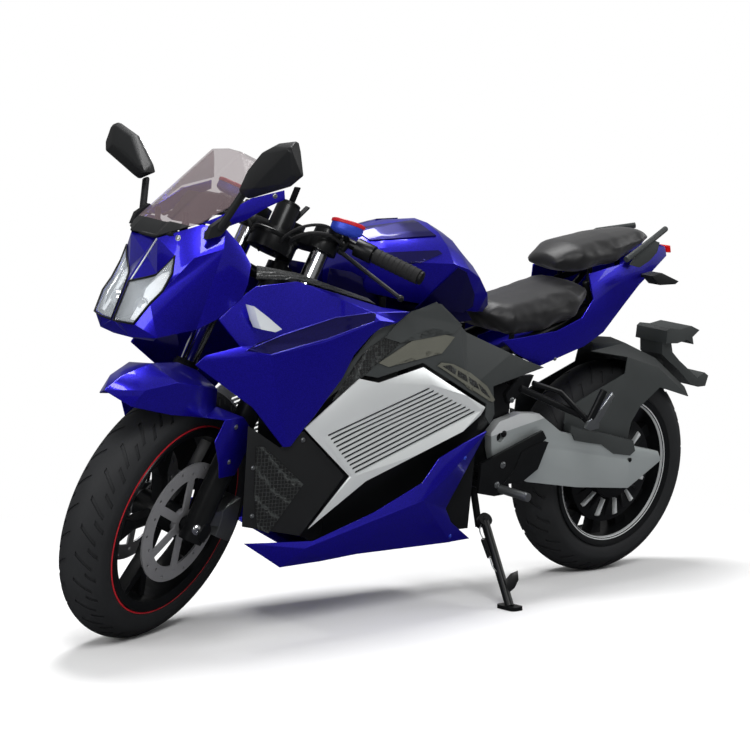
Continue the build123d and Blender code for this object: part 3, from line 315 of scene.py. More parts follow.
def tube(name, points, radius, place, body, finish, rings=10, smooth=True):
    # a bent bar or hose through points in millimetres
    curve = bpy.data.curves.new(name, "CURVE")
    curve.dimensions = "3D"
    curve.bevel_depth = radius / 1000
    curve.bevel_resolution = 3
    curve.use_fill_caps = True
    spline = curve.splines.new("BEZIER" if smooth else "POLY")
    if smooth:
        spline.bezier_points.add(len(points) - 1)
        for knot, p in zip(spline.bezier_points, points):
            knot.co = Vector(p) / 1000
            knot.handle_left_type = knot.handle_right_type = "AUTO"
        spline.resolution_u = rings
    else:
        spline.points.add(len(points) - 1)
        for knot, p in zip(spline.points, points):
            knot.co = (*[c / 1000 for c in p], 1)
    bar = bpy.data.objects.new(name, curve)
    scene.collection.objects.link(bar)
    pickUp(bar)
    bpy.ops.object.convert(target="MESH")
    bar = bpy.context.object
    bar.data.transform(place)
    smoothShade(bar, 50)
    return finishPiece(bar, body, finish)


def lathe(mesh, rows, steps, way="Y"):
    # turns rows of (radius, height) in millimetres round an axis into a closed or open skin
    rings = []
    for radius, height in rows:
        ring = []
        for k in range(steps):
            a = 2 * math.pi * k / steps
            flat = (radius * math.cos(a) / 1000, radius * math.sin(a) / 1000)
            spot = (flat[0], height / 1000, -flat[1]) if way == "Y" else (flat[0], flat[1], height / 1000)
            ring.append(mesh.verts.new(spot))
        rings.append(ring)
    for low, high in zip(rings, rings[1:]):
        for k in range(steps):
            n = (k + 1) % steps
            mesh.faces.new((low[k], low[n], high[n], high[k]))
    return rings


def turnedPiece(name, rows, place, body, finish, steps=48, caps=True):
    # a turned knob, bolt or cup about its local z axis
    mesh = bmesh.new()
    rings = lathe(mesh, rows, steps, way="Z")
    if caps:
        mesh.faces.new(list(reversed(rings[0])))
        mesh.faces.new(rings[-1])
    bmesh.ops.recalc_face_normals(mesh, faces=mesh.faces)
    piece = pieceFrom(mesh, name, place)
    smoothShade(piece, 35)
    return finishPiece(piece, body, finish)


def aim(point, way, base):
    # local frame with z along a way, at a point in millimetres of the base frame
    z = Vector(way).normalized()
    return base @ Matrix.Translation(Vector(point) / 1000) @ z.to_track_quat("Z", "Y").to_matrix().to_4x4()


creasedPanels = {
    "nose_fairing": ("bluePaint", 0.0022), "left_side_fairing": ("bluePaint", 0.0022),
    "right_side_fairing": ("bluePaint", 0.0022), "belly_pan": ("bluePaint", 0.002),
    "tail_fairing": ("bluePaint", 0.0022), "left_frame_cover": ("greyPlastic", 0.002),
    "right_frame_cover": ("greyPlastic", 0.002), "left_front_duct": ("blackPlastic", 0.0015),
    "right_front_duct": ("blackPlastic", 0.0015), "rear_hugger": ("greyPlastic", 0.0018),
    "left_battery_panel": ("silverCoat", 0.0012), "right_battery_panel": ("silverCoat", 0.0012),
    "front_fender": ("bluePaint", 0.0016), "swingarm": ("greySilver", 0.003), "plate_bracket": ("greyPlastic", 0.003),
    "left_mirror": ("blackPlastic", 0.003), "right_mirror": ("blackPlastic", 0.003),
    "left_pillion_footrests": ("blackEnamel", 0.001), "right_pillion_footrests": ("blackEnamel", 0.001),
    "grab_rails": ("greyPlastic", 0.002), "turn_signals": ("blackPlastic", 0.002),
    "front_calipers": ("groundSteel", 0.002), "left_footrests": ("blackEnamel", 0.0012),
    "right_footrests": ("blackEnamel", 0.0012), "instrument_panel": ("blackPlastic", 0.003),
    "triple_clamps": ("blackEnamel", 0.0015), "handlebars": ("blackEnamel", 0.001),
    "fork_legs": ("blackEnamel", 0.001),
    "front_rim": ("blackEnamel", 0.0018), "rear_rim_motor": ("blackEnamel", 0.0014),
    "windscreen": ("smokedScreen", 0.0008),
    "tail_light": ("redLens", 0.002), "cockpit_cover": ("blackPlastic", 0.001),
}
panels = {}
for node, (finish, width) in creasedPanels.items():
    panels[node] = workedCopy(node, finish)
    softenEdges(panels[node], width)
print("panels softened")
rowToBike = bikeToRow.inverted()

# The camera's place, used to set details where the picture shows them
cameraFrom = Vector((2.1164, 2.7734, 0.7062))
cameraTo = Vector((0.05656, 0.0, 0.56509))
shift = rearAxle - Vector((-0.6887, 0.0448, 0.2978))
cameraTurn = (cameraTo - cameraFrom).to_track_quat("-Z", "Y")
eye = cameraFrom + shift
rowUnit = Matrix.Identity(4)
bikeAhead, bikeLeft, bikeUp = (bikeToRow.to_3x3() @ Vector(way) for way in ((1, 0, 0), (0, 1, 0), (0, 0, 1)))


def sightLine(u, v):
    # way from the camera through a point of its 750 x 750 picture
    k = 36 / 66.53 / 750
    return (cameraTurn @ Vector(((u - 375) * k, (375 - v) * k, -1.0))).normalized()


def onPlane(u, v, point, normal):
    way = sightLine(u, v)
    return eye + way * ((point - eye).dot(normal) / way.dot(normal))


def bikePoint(x, y, z):
    return bikeToRow @ (Vector((x, y, z)) / 1000)


def flipSide(p, toRow=bikeToRow):
    q = toRow.inverted() @ p
    return toRow @ Vector((q.x, -q.y, q.z))


def bothSides(mesh, name, body, finish, thick, soft=0.0005):
    # makes the left piece of an open skin, thickened inwards, and its mirror image on the right
    made = []
    for tag in ("left", "right"):
        copy = mesh.copy()
        if tag == "right":
            for vert in copy.verts:
                vert.co = flipSide(vert.co)
            bmesh.ops.reverse_faces(copy, faces=copy.faces)
        piece = pieceFrom(copy, name + "_" + tag, rowUnit)
        applyModifier(piece, "SOLIDIFY", thickness=thick, offset=-1)
        if soft:
            softenEdges(piece, soft, 2, 40, 35)
        else:
            smoothShade(piece, 30)
        made.append(finishPiece(piece, body, finish))
    mesh.free()
    return made


def flatPlate(name, outline, point, normal, thick, body, finish):
    # a plate cut to an outline seen from the camera, on a plane
    mesh = bmesh.new()
    face = mesh.faces.new([mesh.verts.new(onPlane(u, v, point, normal)) for u, v in outline])
    face.normal_update()
    if face.normal.dot(eye - point) < 0:
        face.normal_flip()
    return bothSides(mesh, name, body, finish, thick)


def patch(name, panel, outline, lift, thick, finish, cuts=11):
    # a step that follows a panel inside an outline seen from the camera
    mesh = bmesh.new()
    face = mesh.faces.new([mesh.verts.new((u, v, 0)) for u, v in outline])
    bmesh.ops.triangulate(mesh, faces=[face], ngon_method="EAR_CLIP")
    bmesh.ops.subdivide_edges(mesh, edges=mesh.edges[:], cuts=cuts, use_grid_fill=True)
    skin = panels[panel]
    known, missed = [], []
    for vert in mesh.verts:
        u, v = vert.co.x, vert.co.y
        hit, spot, normal, index = skin.ray_cast(eye, sightLine(u, v))
        if hit and (rowToBike @ spot).y > -0.02:
            known.append((vert, u, v, spot, normal))
        else:
            missed.append((vert, u, v))
    if not known:
        print("no panel under", name)
        mesh.free()
        return []
    mean = sum((entry[4] for entry in known), Vector()).normalized()
    for vert, u, v, spot, normal in known:
        vert.co = spot + mean * lift
    for vert, u, v in missed:
        near = min(known, key=lambda entry: (entry[1] - u) ** 2 + (entry[2] - v) ** 2)
        vert.co = onPlane(u, v, near[3], mean) + mean * lift
    mesh.normal_update()
    for face in mesh.faces:
        if face.normal.dot(mean) < 0:
            face.normal_flip()
    return bothSides(mesh, name, bodyOf(panel), finish, min(thick, lift + 0.0008), 0)


def seamLine(name, panel, points, radius, finish, lift=0.0, both=True):
    # a fine bead along a panel, through points seen from the camera
    spots = []
    for u, v in points:
        hit, spot, normal, index = panels[panel].ray_cast(eye, sightLine(u, v))
        if hit:
            spots.append(spot + normal * lift)
    if len(spots) < 2:
        print("no panel under", name)
        return
    for tag in ("left", "right") if both else ("left",):
        line = spots if tag == "left" else [flipSide(p) for p in spots]
        tube(name + "_" + tag, [tuple(p * 1000) for p in line], radius, rowUnit, bodyOf(panel), finish,
             smooth=False)


def sightScrew(name, panel, u, v, radius, finish):
    # a button-head screw where the camera sees one, with its twin on the far side
    hit, spot, normal, index = panels[panel].ray_cast(eye, sightLine(u, v))
    if not hit:
        print("no panel under", name)
        return
    r = radius
    frameOf = steeredToRow if bodyOf(panel) == "steering" else bikeToRow
    for tag in ("left", "right"):
        at = spot if tag == "left" else flipSide(spot, frameOf)
        out = normal if tag == "left" else (flipSide(spot + normal, frameOf) - flipSide(spot, frameOf))
        rows = [(r * 1.25, -1.0), (r * 1.25, 0.5), (r, 0.6), (r, 1.6), (r * 0.8, 2.6), (r * 0.45, 2.9),
                (r * 0.42, 1.4)]
        place = Matrix.Translation(at) @ out.to_track_quat("Z", "Y").to_matrix().to_4x4()
        turnedPiece(name + "_" + tag, rows, place, bodyOf(panel), finish, 20)


rowToSteered = steeredToRow.inverted()
steerFoot = Vector((785.0, 0.0, 0.0))
steerDir = Vector((-math.sin(rake), 0.0, math.cos(rake)))


def paintLocal(node, finish, toLocal, test):
    # gives the faces of a panel that pass a test, in millimetres of a local frame, another finish
    piece = panels[node]
    piece.data.materials.append(finishes[finish])
    index = len(piece.data.materials) - 1
    for face in piece.data.polygons:
        if test(toLocal @ face.center * 1000):
            face.material_index = index


def paintWhere(node, finish, test):
    paintLocal(node, finish, rowToBike, test)


def bisectSkin(node, toRow, point, way):
    # cuts a skin along a plane so that its two sides can take different finishes
    piece = panels[node]
    mesh = bmesh.new()
    mesh.from_mesh(piece.data)
    bmesh.ops.bisect_plane(mesh, geom=mesh.verts[:] + mesh.edges[:] + mesh.faces[:],
                           plane_co=toRow @ (Vector(point) / 1000), plane_no=toRow.to_3x3() @ Vector(way))
    mesh.to_mesh(piece.data)
    mesh.free()
    smoothShade(piece, 32)


paintWhere("cockpit_cover", "bluePaint", lambda p: p.z > 860)
paintWhere("cockpit_cover", "hexPlastic", lambda p: p.z < 860)
stanchionFoot = 640
screenSplit = (Vector((700, 0, 924)), Vector((-0.25, 0, 1)))
paintLocal("fork_legs", "chromeSteel", rowToSteered, lambda p: (p - steerFoot).dot(steerDir) > stanchionFoot)
bisectSkin("windscreen", bikeToRow, screenSplit[0], screenSplit[1])
paintWhere("windscreen", "blackPlastic", lambda p: (p - screenSplit[0]).dot(screenSplit[1]) < 0)
for node in ("left_footrests", "right_footrests"):
    paintWhere(node, "groundSteel", lambda p: abs(p.y) > 140)
gripRoot = Vector((396.0, 122.0, 938.0))
gripEnd = Vector((370.0, 322.0, 910.0))


def onGrip(p):
    q = Vector((p.x, abs(p.y), p.z))
    way = (gripEnd - gripRoot).normalized()
    along = (q - gripRoot).dot(way)
    return along > 91 and (q - gripRoot - way * along).length < 19


def inCup(p):
    return abs(p.x - 440) < 34 and abs(abs(p.y) - 155) < 46 and abs(p.z - 984) < 30


def cutAway(node, toLocal, test):
    # takes out the part of a skin that a finer piece stands in for, and closes the cut
    mesh = bmesh.new()
    mesh.from_mesh(panels[node].data)
    lost = [face for face in mesh.faces if test(toLocal @ face.calc_center_median() * 1000)]
    bmesh.ops.delete(mesh, geom=lost, context="FACES")
    bmesh.ops.holes_fill(mesh, edges=[edge for edge in mesh.edges if edge.is_boundary], sides=0)
    mesh.to_mesh(panels[node].data)
    mesh.free()


paintLocal("handlebars", "gripRubber", rowToSteered, onGrip)
cutAway("handlebars", rowToSteered, inCup)
for node in ("left_mirror", "right_mirror"):
    cutAway(node, rowToBike, lambda p: abs(p.y) > 222 and p.z > 1000)
rearWheel = wheelPlace("rear_wheel_spin")
frontWheel = wheelPlace("front_wheel_spin")
armSplit = (Vector((-300, 0, 462)), Vector((0.22, 0, 1)))
bisectSkin("swingarm", bikeToRow, armSplit[0], armSplit[1])
paintWhere("swingarm", "silverCoat", lambda p: (p - armSplit[0]).dot(armSplit[1]) > 0)
paintWhere("turn_signals", "lensSilver", lambda p: p.x > 0 and abs(p.y) > 186)


def ringPiece(name, body, wheel, rows, finish):
    # a closed ring round a wheel, turned from rows of (radius, side) in millimetres
    mesh = bmesh.new()
    rings = lathe(mesh, rows, 120)
    for k in range(120):
        n = (k + 1) % 120
        mesh.faces.new((rings[-1][k], rings[-1][n], rings[0][n], rings[0][k]))
    bmesh.ops.recalc_face_normals(mesh, faces=mesh.faces)
    piece = pieceFrom(mesh, name, wheel)
    smoothShade(piece, 40)
    finishPiece(piece, body, finish)


stripeFacts = {"radius": 218.6, "side": 49.6, "high": 1.9, "wide": 1.2}
lipRows = ((191, 54), (193, 60), (198, 62.6), (205, 63.6), (208, 62.6), (208, 55))
for side in (1, -1):
    tag = "left" if side > 0 else "right"
    stripeRows = []
    for k in range(6):
        turn = k * math.pi / 3
        stripeRows.append((stripeFacts["radius"] + stripeFacts["high"] * math.cos(turn),
                           side * stripeFacts["side"] + stripeFacts["wide"] * math.sin(turn)))
    ringPiece("rim_stripe_" + tag, "front_wheel", frontWheel, stripeRows, "redPaint")
    ringPiece("rim_lip_" + tag, "rear_wheel", rearWheel,
              [(r, side * y) for r, y in lipRows], "silverCoat")

# Motor fins: twelve cast wedges on each face, their corners as (radius, across, side)
finFacts = {"count": 12, "foot": ((84, -1, 44), (84, 1, 44), (138, 7, 44), (138, -7, 44)),
            "top": ((86, -0.6, 61), (86, 0.6, 61), (134, 5, 54), (134, -5, 54))}
for side in (1, -1):
    mesh = bmesh.new()
    for k in range(finFacts["count"]):
        a = 2 * math.pi * (k + 0.5) / finFacts["count"]
        out, across = Vector((math.cos(a), 0, math.sin(a))), Vector((-math.sin(a), 0, math.cos(a)))
        corners = [out * r + across * w + Vector((0, side * y, 0)) for r, w, y in finFacts["foot"] + finFacts["top"]]
        verts = [mesh.verts.new(p / 1000) for p in corners]
        for face in ((0, 1, 2, 3), (4, 5, 6, 7), (0, 1, 5, 4), (1, 2, 6, 5), (2, 3, 7, 6), (3, 0, 4, 7)):
            mesh.faces.new([verts[i] for i in face])
    bmesh.ops.recalc_face_normals(mesh, faces=mesh.faces)
    fins = pieceFrom(mesh, "motor_fins_" + ("left" if side > 0 else "right"), rearWheel)
    softenEdges(fins, 0.0008, 2, 30, 35)
    finishPiece(fins, "rear_wheel", "silverCoat")

# Frame cover: bolted upper plate, honeycomb strip, shoulder and vent rim in painted light, and the vent's slots in
# painted shade
# how far each step stands off the cover, in metres
coverLift = {"hex": 0.0030, "shoulder": 0.0032, "rim": 0.0036, "plate": 0.0044, "cell": 0.0046}
patch("cover_plate", "left_frame_cover",
      [(410, 312), (434.5, 303.5), (440.6, 304.3), (461, 325), (453.4, 333), (433, 328.3), (420.7, 330.6), (400, 343),
       (384, 338), (395, 325)], coverLift["plate"], 0.004, "greyPlastic")
patch("cover_hex", "left_frame_cover",
      [(384, 338), (400, 343), (373.2, 363.8), (361, 377.5), (332, 401), (342, 386), (366, 350)],
      coverLift["hex"], 0.003, "hexPlastic")
# the shoulder band and the vent rim take the paler grey: painted light
patch("cover_shoulder", "left_frame_cover",
      [(378, 363), (421, 334.5), (433, 332), (454, 337), (448, 345), (441, 353.5), (428, 351), (388, 367)],
      coverLift["shoulder"], 0.004, "shoulderLitGrey")
patch("vent_rim", "left_frame_cover",
      [(437, 366), (441, 362.5), (452, 364), (470, 373), (486, 386), (494, 400), (491, 402), (478, 394), (462, 382),
       (447, 372)], coverLift["rim"], 0.004, "shoulderLitGrey")
# dark patches in the vent slots: painted shade
ventShadeCells = (
    [(441.5, 366), (449, 365), (455, 369.5), (454, 374.5)], [(457, 370.5), (465, 375.5), (466.5, 382), (456.5, 376)],
    [(467.5, 377), (475, 382), (478, 389.5), (469, 384)], [(477.5, 384), (484, 390), (489, 398), (480.5, 391.5)],
)
for index, cell in enumerate(ventShadeCells):
    patch("vent_shade_cell_%d" % index, "left_frame_cover", cell, coverLift["cell"], 0.002, "hexPlastic", 4)

# Front duct: honeycomb grille, and a dark sheet behind the gap beside the cover: painted shade
patch("duct_mesh", "left_front_duct",
      [(256, 446), (264, 447), (303, 484), (268, 533), (257, 529), (254, 492)], 0.0024, 0.003, "hexPlastic")
flatPlate("gap_shade_sheet", [(347, 346), (362, 342), (364, 366), (345, 376)], bikePoint(250, 150, 650), bikeLeft,
          0.002, "body", "blackPlastic")

# Side fairing: the recessed blade in painted shade, with painted highlight lines along its two edges
patch("fairing_blade", "left_side_fairing",
      [(246, 351), (258, 343), (335, 318), (370, 313.5), (376, 314), (374, 321.5), (328, 338), (271, 354)],
      0.002, 0.003, "bluePaintedShade")
seamLine("blade_highlight_low", "left_side_fairing",
         [(271, 355), (300, 347), (328, 339), (350, 330.5), (374, 322)], 1.1, "bluePaintedHighlight", 0.002)
seamLine("blade_highlight_high", "left_side_fairing", [(246, 350.5), (280, 336), (335, 317.5), (370, 313)], 1.1,
         "bluePaintedHighlight", 0.002)

# Screws where the camera sees them
sightScrews = (
    ("left_frame_cover", 414.5, 317, 5.5, "groundSteel"), ("left_frame_cover", 455, 325, 5.5, "groundSteel"),
    ("front_fender", 236, 427, 5.0, "groundSteel"), ("front_fender", 229, 462, 5.0, "groundSteel"),
    ("fork_legs", 197, 530, 9.0, "chromeSteel"), ("left_front_duct", 253, 468, 4.0, "groundSteel"),
    ("left_front_duct", 252, 516, 4.0, "groundSteel"), ("left_front_duct", 303, 440, 4.5, "groundSteel"),
    ("left_front_duct", 309, 524, 4.5, "groundSteel"),
    ("belly_pan", 465, 458, 4.5, "blueCup"), ("belly_pan", 450, 536, 4.5, "blueCup"),
    ("left_footrests", 503, 465, 7.0, "groundSteel"), ("left_footrests", 497, 485, 7.0, "groundSteel"),
    ("swingarm", 504, 434, 7.0, "blackEnamel"), ("swingarm", 630, 460, 5.0, "blackEnamel"),
    ("nose_fairing", 178, 238, 5.0, "groundSteel"), ("cockpit_cover", 275, 196, 4.5, "groundSteel"),
    ("left_pillion_footrests", 512, 400, 6.0, "groundSteel"), ("tail_fairing", 555, 359, 4.0, "groundSteel"),
)
for index, (panel, u, v, radius, finish) in enumerate(sightScrews):
    sightScrew("screw_%d" % index, panel, u, v, radius, finish)
seamLine("screen_seal", "nose_fairing", [(136, 233), (157, 237.5), (173, 234), (190, 226), (204, 219)], 4.5,
         "blackPlastic", 0.003)
# a thin pale bead down the nose's centre ridge: painted highlight
seamLine("nose_ridge_highlight", "nose_fairing", [(157, 239), (149, 252), (140, 266), (131, 280)], 1.8, "silverCoat", 0.001,
         both=False)

# Tank sides below the bars: close the view between tank, cover and fairing with a sheet in the darkened blue, painted
# shade
flatPlate("tank_skirt",
          [(330, 268), (352, 272), (374, 284), (440, 296), (462, 304), (472, 320), (440, 326), (408, 318), (376, 314),
           (345, 300), (326, 290)], bikePoint(200, 84, 760), bikeLeft, 0.002, "body", "bluePaintedShade")

# Pillion hanger: second strut and the silver bracket at the peg
# each point: where the camera sees it, and how far left it lies
strutPoints = ((533, 383, 150), (560, 392, 172), (584, 417, 198))
strut = [onPlane(u, v, bikePoint(0, y, 0), bikeLeft) for u, v, y in strutPoints]
for tag in ("left", "right"):
    line = strut if tag == "left" else [flipSide(p) for p in strut]
    tube("pillion_strut_" + tag, [tuple(p * 1000) for p in line], 7.0, rowUnit, "body", "blackEnamel",
         smooth=False)
flatPlate("peg_bracket",
          [(586, 428.6), (588, 422.4), (597.3, 414.3), (612.6, 392.9), (614.7, 395.9), (603.5, 416.3), (599.4, 422.4),
           (599, 428.6), (591, 430.6)], bikePoint(-424, 212, 490), bikeLeft, 0.008, "body", "groundSteel")


# Steering head: lock barrel, keys, reservoirs, grips and the cables from them
def forkPoint(s, ahead, y):
    # a point along the fork, ahead of it and to its side, in millimetres
    return steerFoot + steerDir * s + Vector((math.cos(rake), 0, math.sin(rake))) * ahead + Vector((0, y, 0))


turnedPiece("lock_barrel", [(24, 0), (24, 8), (21, 10), (9, 10.5), (9, 8)],
            aim(forkPoint(1036, 72, 0), steerDir, steeredToRow), "steering", "blackEnamel", 32)
turnedPiece("drum_collar", [(56, 0), (57, 3), (57, 9), (55.5, 11)],
            aim(forkPoint(958, 72, 0), steerDir, steeredToRow), "steering", "blackEnamel", 48)
for index, (dx, dy, tilt) in enumerate(((0, 0, 0.2), (-16, 26, -0.9))):
    mesh = bmesh.new()
    bmesh.ops.create_cube(mesh, size=1.0)
    bmesh.ops.scale(mesh, vec=(0.016, 0.003, 0.046), verts=mesh.verts)
    bmesh.ops.bevel(mesh, geom=mesh.edges[:], offset=0.0014, segments=2, affect="EDGES")
    top = forkPoint(1064 - 30 * index, 72 + dx, dy)
    key = pieceFrom(mesh, "key_%d" % index, aim(top, (tilt, 0.3, 1.0), steeredToRow))
    finishPiece(key, "steering", "blackPlastic")
barCables = (
    ("cable_a_", 4.2, ((412, 150, 930), (452, 118, 950), (482, 66, 930), (470, 30, 880))),
    ("cable_b_", 3.4, ((418, 138, 955), (470, 104, 968), (502, 56, 935), (484, 18, 872))),
)
ribFacts = {"count": 8, "from": 104, "pitch": 12}
for side in (1, -1):
    tag = "left" if side > 0 else "right"
    for name, radius, line in barCables:
        tube(name + tag, [(x, side * y, z) for x, y, z in line], radius, steeredToRow, "steering", "gripRubber")
    cupPlace = (steeredToRow @ Matrix.Translation((0.440, side * 0.158, 0.964))
                @ Matrix.Rotation(math.radians(side * 12), 4, "Z")
                @ Matrix.Rotation(math.radians(-20), 4, "Y") @ Matrix.Diagonal((0.9, 1.5, 1, 1)))
    turnedPiece("cup_body_" + tag, [(15, -4), (22, 0), (24.5, 4), (24.5, 17), (23, 18)], cupPlace, "steering",
                "blueCup", 40)
    turnedPiece("cup_lid_" + tag, [(25, 17.5), (26, 18.5), (26, 24), (23.5, 26), (5, 26.5)], cupPlace, "steering",
                "redPaint", 40)
    root = Vector((gripRoot.x, side * gripRoot.y, gripRoot.z))
    gripWay = (Vector((gripEnd.x, side * gripEnd.y, gripEnd.z)) - root).normalized()
    for k in range(ribFacts["count"]):
        spot = root + gripWay * (ribFacts["from"] + ribFacts["pitch"] * k)
        turnedPiece("grip_rib_%d_%s" % (k, tag), [(15, -3), (18.0, -1.6), (18.0, 1.6), (15, 3)],
                    aim(spot, gripWay, steeredToRow), "steering", "gripRubber", 28)
    turnedPiece("bar_weight_" + tag, [(14, 0), (15.5, 2), (15.5, 7), (12, 9)],
                aim((gripEnd.x, side * gripEnd.y, gripEnd.z), (-26, side * 200, -28), steeredToRow), "steering",
                "blackEnamel", 28)

# Side stand: return spring, its hooks and the foot tang
pivotRow = Vector(joints["side_stand_fold"]["pos_m"])
footLow, footHigh = (Vector(c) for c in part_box("stand_leg"))
footRow = Vector(((footLow.x + footHigh.x) / 2, footHigh.y - 0.03, 0.012))
legWay = (footRow - pivotRow).normalized()
outWay = -legWay.cross(Vector((0, 0, 1))).normalized()
springTop = pivotRow + legWay * 0.02 - outWay * 0.024
springFacts = {"from": 0.03, "length": 0.05, "radius": 0.0055, "steps": 120, "perTurn": 8}
acrossWay = legWay.cross(outWay)


def besideLeg(points):
    # points given along the leg and out from it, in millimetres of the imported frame
    return [tuple((springTop + legWay * d + outWay * e) * 1000) for d, e in points]


coil = []
for k in range(springFacts["steps"] + 1):
    a = 2 * math.pi * k / springFacts["perTurn"]
    along = legWay * (springFacts["from"] + springFacts["length"] * k / springFacts["steps"])
    coil.append(tuple((springTop + along + outWay * springFacts["radius"] * math.cos(a)
                       + acrossWay * springFacts["radius"] * math.sin(a)) * 1000))
tube("stand_spring", coil, 1.4, rowUnit, "side_stand", "blackEnamel", smooth=False)
tube("spring_hook", besideLeg(((-0.012, 0.012), (0.005, 0), (0.03, 0))), 1.6, rowUnit, "side_stand", "groundSteel")
tube("spring_rod", besideLeg(((0.08, 0), (0.115, 0.002), (0.13, 0.022))), 1.6, rowUnit, "side_stand", "groundSteel")

tangFace = (eye - footRow).normalized()
mesh = bmesh.new()
face = mesh.faces.new([mesh.verts.new(onPlane(u, v, footRow, tangFace)) for u, v in
                       ((505, 580), (510.6, 573.5), (517.8, 570.4), (518.6, 579.6), (514.7, 588), (507.5, 594))])
face.normal_update()
tang = pieceFrom(mesh, "stand_tang", rowUnit)
applyModifier(tang, "SOLIDIFY", thickness=0.004, offset=0)
softenEdges(tang, 0.001, 2, 30, 35)
finishPiece(tang, "side_stand", "blackEnamel")

# Seats: foam under vinyl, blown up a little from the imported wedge
padSettings = {"voxel": 0.006, "pressure": 3.5, "cap": 0.009}


def paddedSeat(node):
    seat = workedCopy(node, "seatVinyl", "pad")
    softenEdges(seat, 0.012, 4, 20)
    applyModifier(seat, "REMESH", mode="VOXEL", voxel_size=padSettings["voxel"])
    rest = [v.co.copy() for v in seat.data.vertices]
    cloth = seat.modifiers.new("Cloth", "CLOTH")
    cloth.settings.use_pressure = True
    cloth.settings.uniform_pressure_force = padSettings["pressure"]
    cloth.settings.effector_weights.gravity = 0
    for step in range(1, 21):
        scene.frame_set(step)
    pickUp(seat)
    bpy.ops.object.modifier_apply(modifier="Cloth")
    for vertex, start in zip(seat.data.vertices, rest):
        move = vertex.co - start
        if move.length > padSettings["cap"]:
            vertex.co = start + move.normalized() * padSettings["cap"]
    scene.frame_set(1)
    applyModifier(seat, "SMOOTH", factor=0.6, iterations=10)
    smoothShade(seat, 80)


paddedSeat("rider_seat")
paddedSeat("pillion_seat")
print("seats padded")

# Tank skin: pressed steel, crowned, one soft shoulder line
tankSkin = workedCopy("tank_cover", "bluePaint")
softenEdges(tankSkin, 0.006, 4, 18, 45)
panels["tank_cover"] = tankSkin
# steps in the tank's side, each in the darkened blue as painted shade: name, metres it stands off the skin, outline
# as the camera sees it
tankSteps = (
    ("tank_rear_step", 0.0034, [(415, 308), (457.5, 267), (466, 272), (474, 294), (472, 306), (462, 312)]),
    ("tank_top_step", 0.003, [(352, 229), (413, 221), (418, 223), (436, 236.5), (370, 241)]),
    ("tank_side_step", 0.0026, [(378, 253), (438, 250.5), (442, 254), (420, 263), (388, 268)]),
)
for name, lift, outline in tankSteps:
    patch(name, "tank_cover", outline, lift, 0.004, "bluePaintedShade")

# Tyres: spun rubber with curved sipes cut from the middle to the shoulders
tyreKinds = {
    "front_tyre": {"joint": "front_wheel_spin", "radius": 293.0, "width": 110.0, "crown": 60.0, "lip": 222.5,
                   "columns": 150, "every": 5, "cut": 3.0, "wave": 26.0},
    "rear_tyre": {"joint": "rear_wheel_spin", "radius": 300.0, "width": 142.0, "crown": 76.0, "lip": 222.5,
                  "columns": 132, "every": 6, "cut": 3.2, "wave": 32.0},
}


def makeTyre(node, kind):
    mesh = bmesh.new()
    half = kind["width"] / 2
    centre = kind["radius"] - kind["crown"]
    reach = math.asin(half / kind["crown"])
    side = [(kind["lip"] - 15.5, half - 14.0), (kind["lip"] - 2, half - 6.0), (kind["lip"] + 8, half - 2.2),
            (kind["lip"] + 22, half - 0.4)]
    crownRows = 28
    rows = [(r, -y) for r, y in side]
    for k in range(crownRows + 1):
        a = reach * (2 * k / crownRows - 1)
        rows.append((centre + kind["crown"] * math.cos(a) - 0.3, kind["crown"] * math.sin(a)))
    rows += [(r, y) for r, y in reversed(side)]
    steps = kind["columns"]
    rings = []
    for index, (radius, height) in enumerate(rows):
        share = height / half
        twist = math.radians(kind["wave"] / 4 * (abs(share) ** 1.4)) * 1.6
        rings.append([mesh.verts.new((radius / 1000 * math.cos(2 * math.pi * k / steps + twist), height / 1000,
                                      -radius / 1000 * math.sin(2 * math.pi * k / steps + twist)))
                      for k in range(steps)])
    firstCrown = len(side)
    grooves = []
    for row, (low, high) in enumerate(zip(rings, rings[1:])):
        crownRow = row - firstCrown
        for k in range(steps):
            n = (k + 1) % steps
            face = mesh.faces.new((low[k], low[n], high[n], high[k]))
            lane = crownRow if crownRow < crownRows / 2 else crownRows - 1 - crownRow
            shift = 0 if crownRow < crownRows / 2 else kind["every"] // 2
            phase = (k + shift) % kind["every"]
            if 0 <= crownRow < crownRows:
                if phase == 0 and 4 <= lane <= 11:
                    grooves.append(face)
                elif phase == kind["every"] // 2 and 2 <= lane <= 6:
                    grooves.append(face)
    bmesh.ops.recalc_face_normals(mesh, faces=mesh.faces)
    bmesh.ops.inset_region(mesh, faces=grooves, thickness=0.0008, depth=0, use_even_offset=True)
    bmesh.ops.inset_region(mesh, faces=grooves, thickness=0.0003, depth=-kind["cut"] / 1000, use_even_offset=True)
    piece = pieceFrom(mesh, node + "_tread", wheelPlace(kind["joint"]))
    smoothShade(piece, 38)
    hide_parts(node)
    return finishPiece(piece, bodyOf(node), "tyreRubber")


for node, kind in tyreKinds.items():
    makeTyre(node, kind)
print("tyres made")
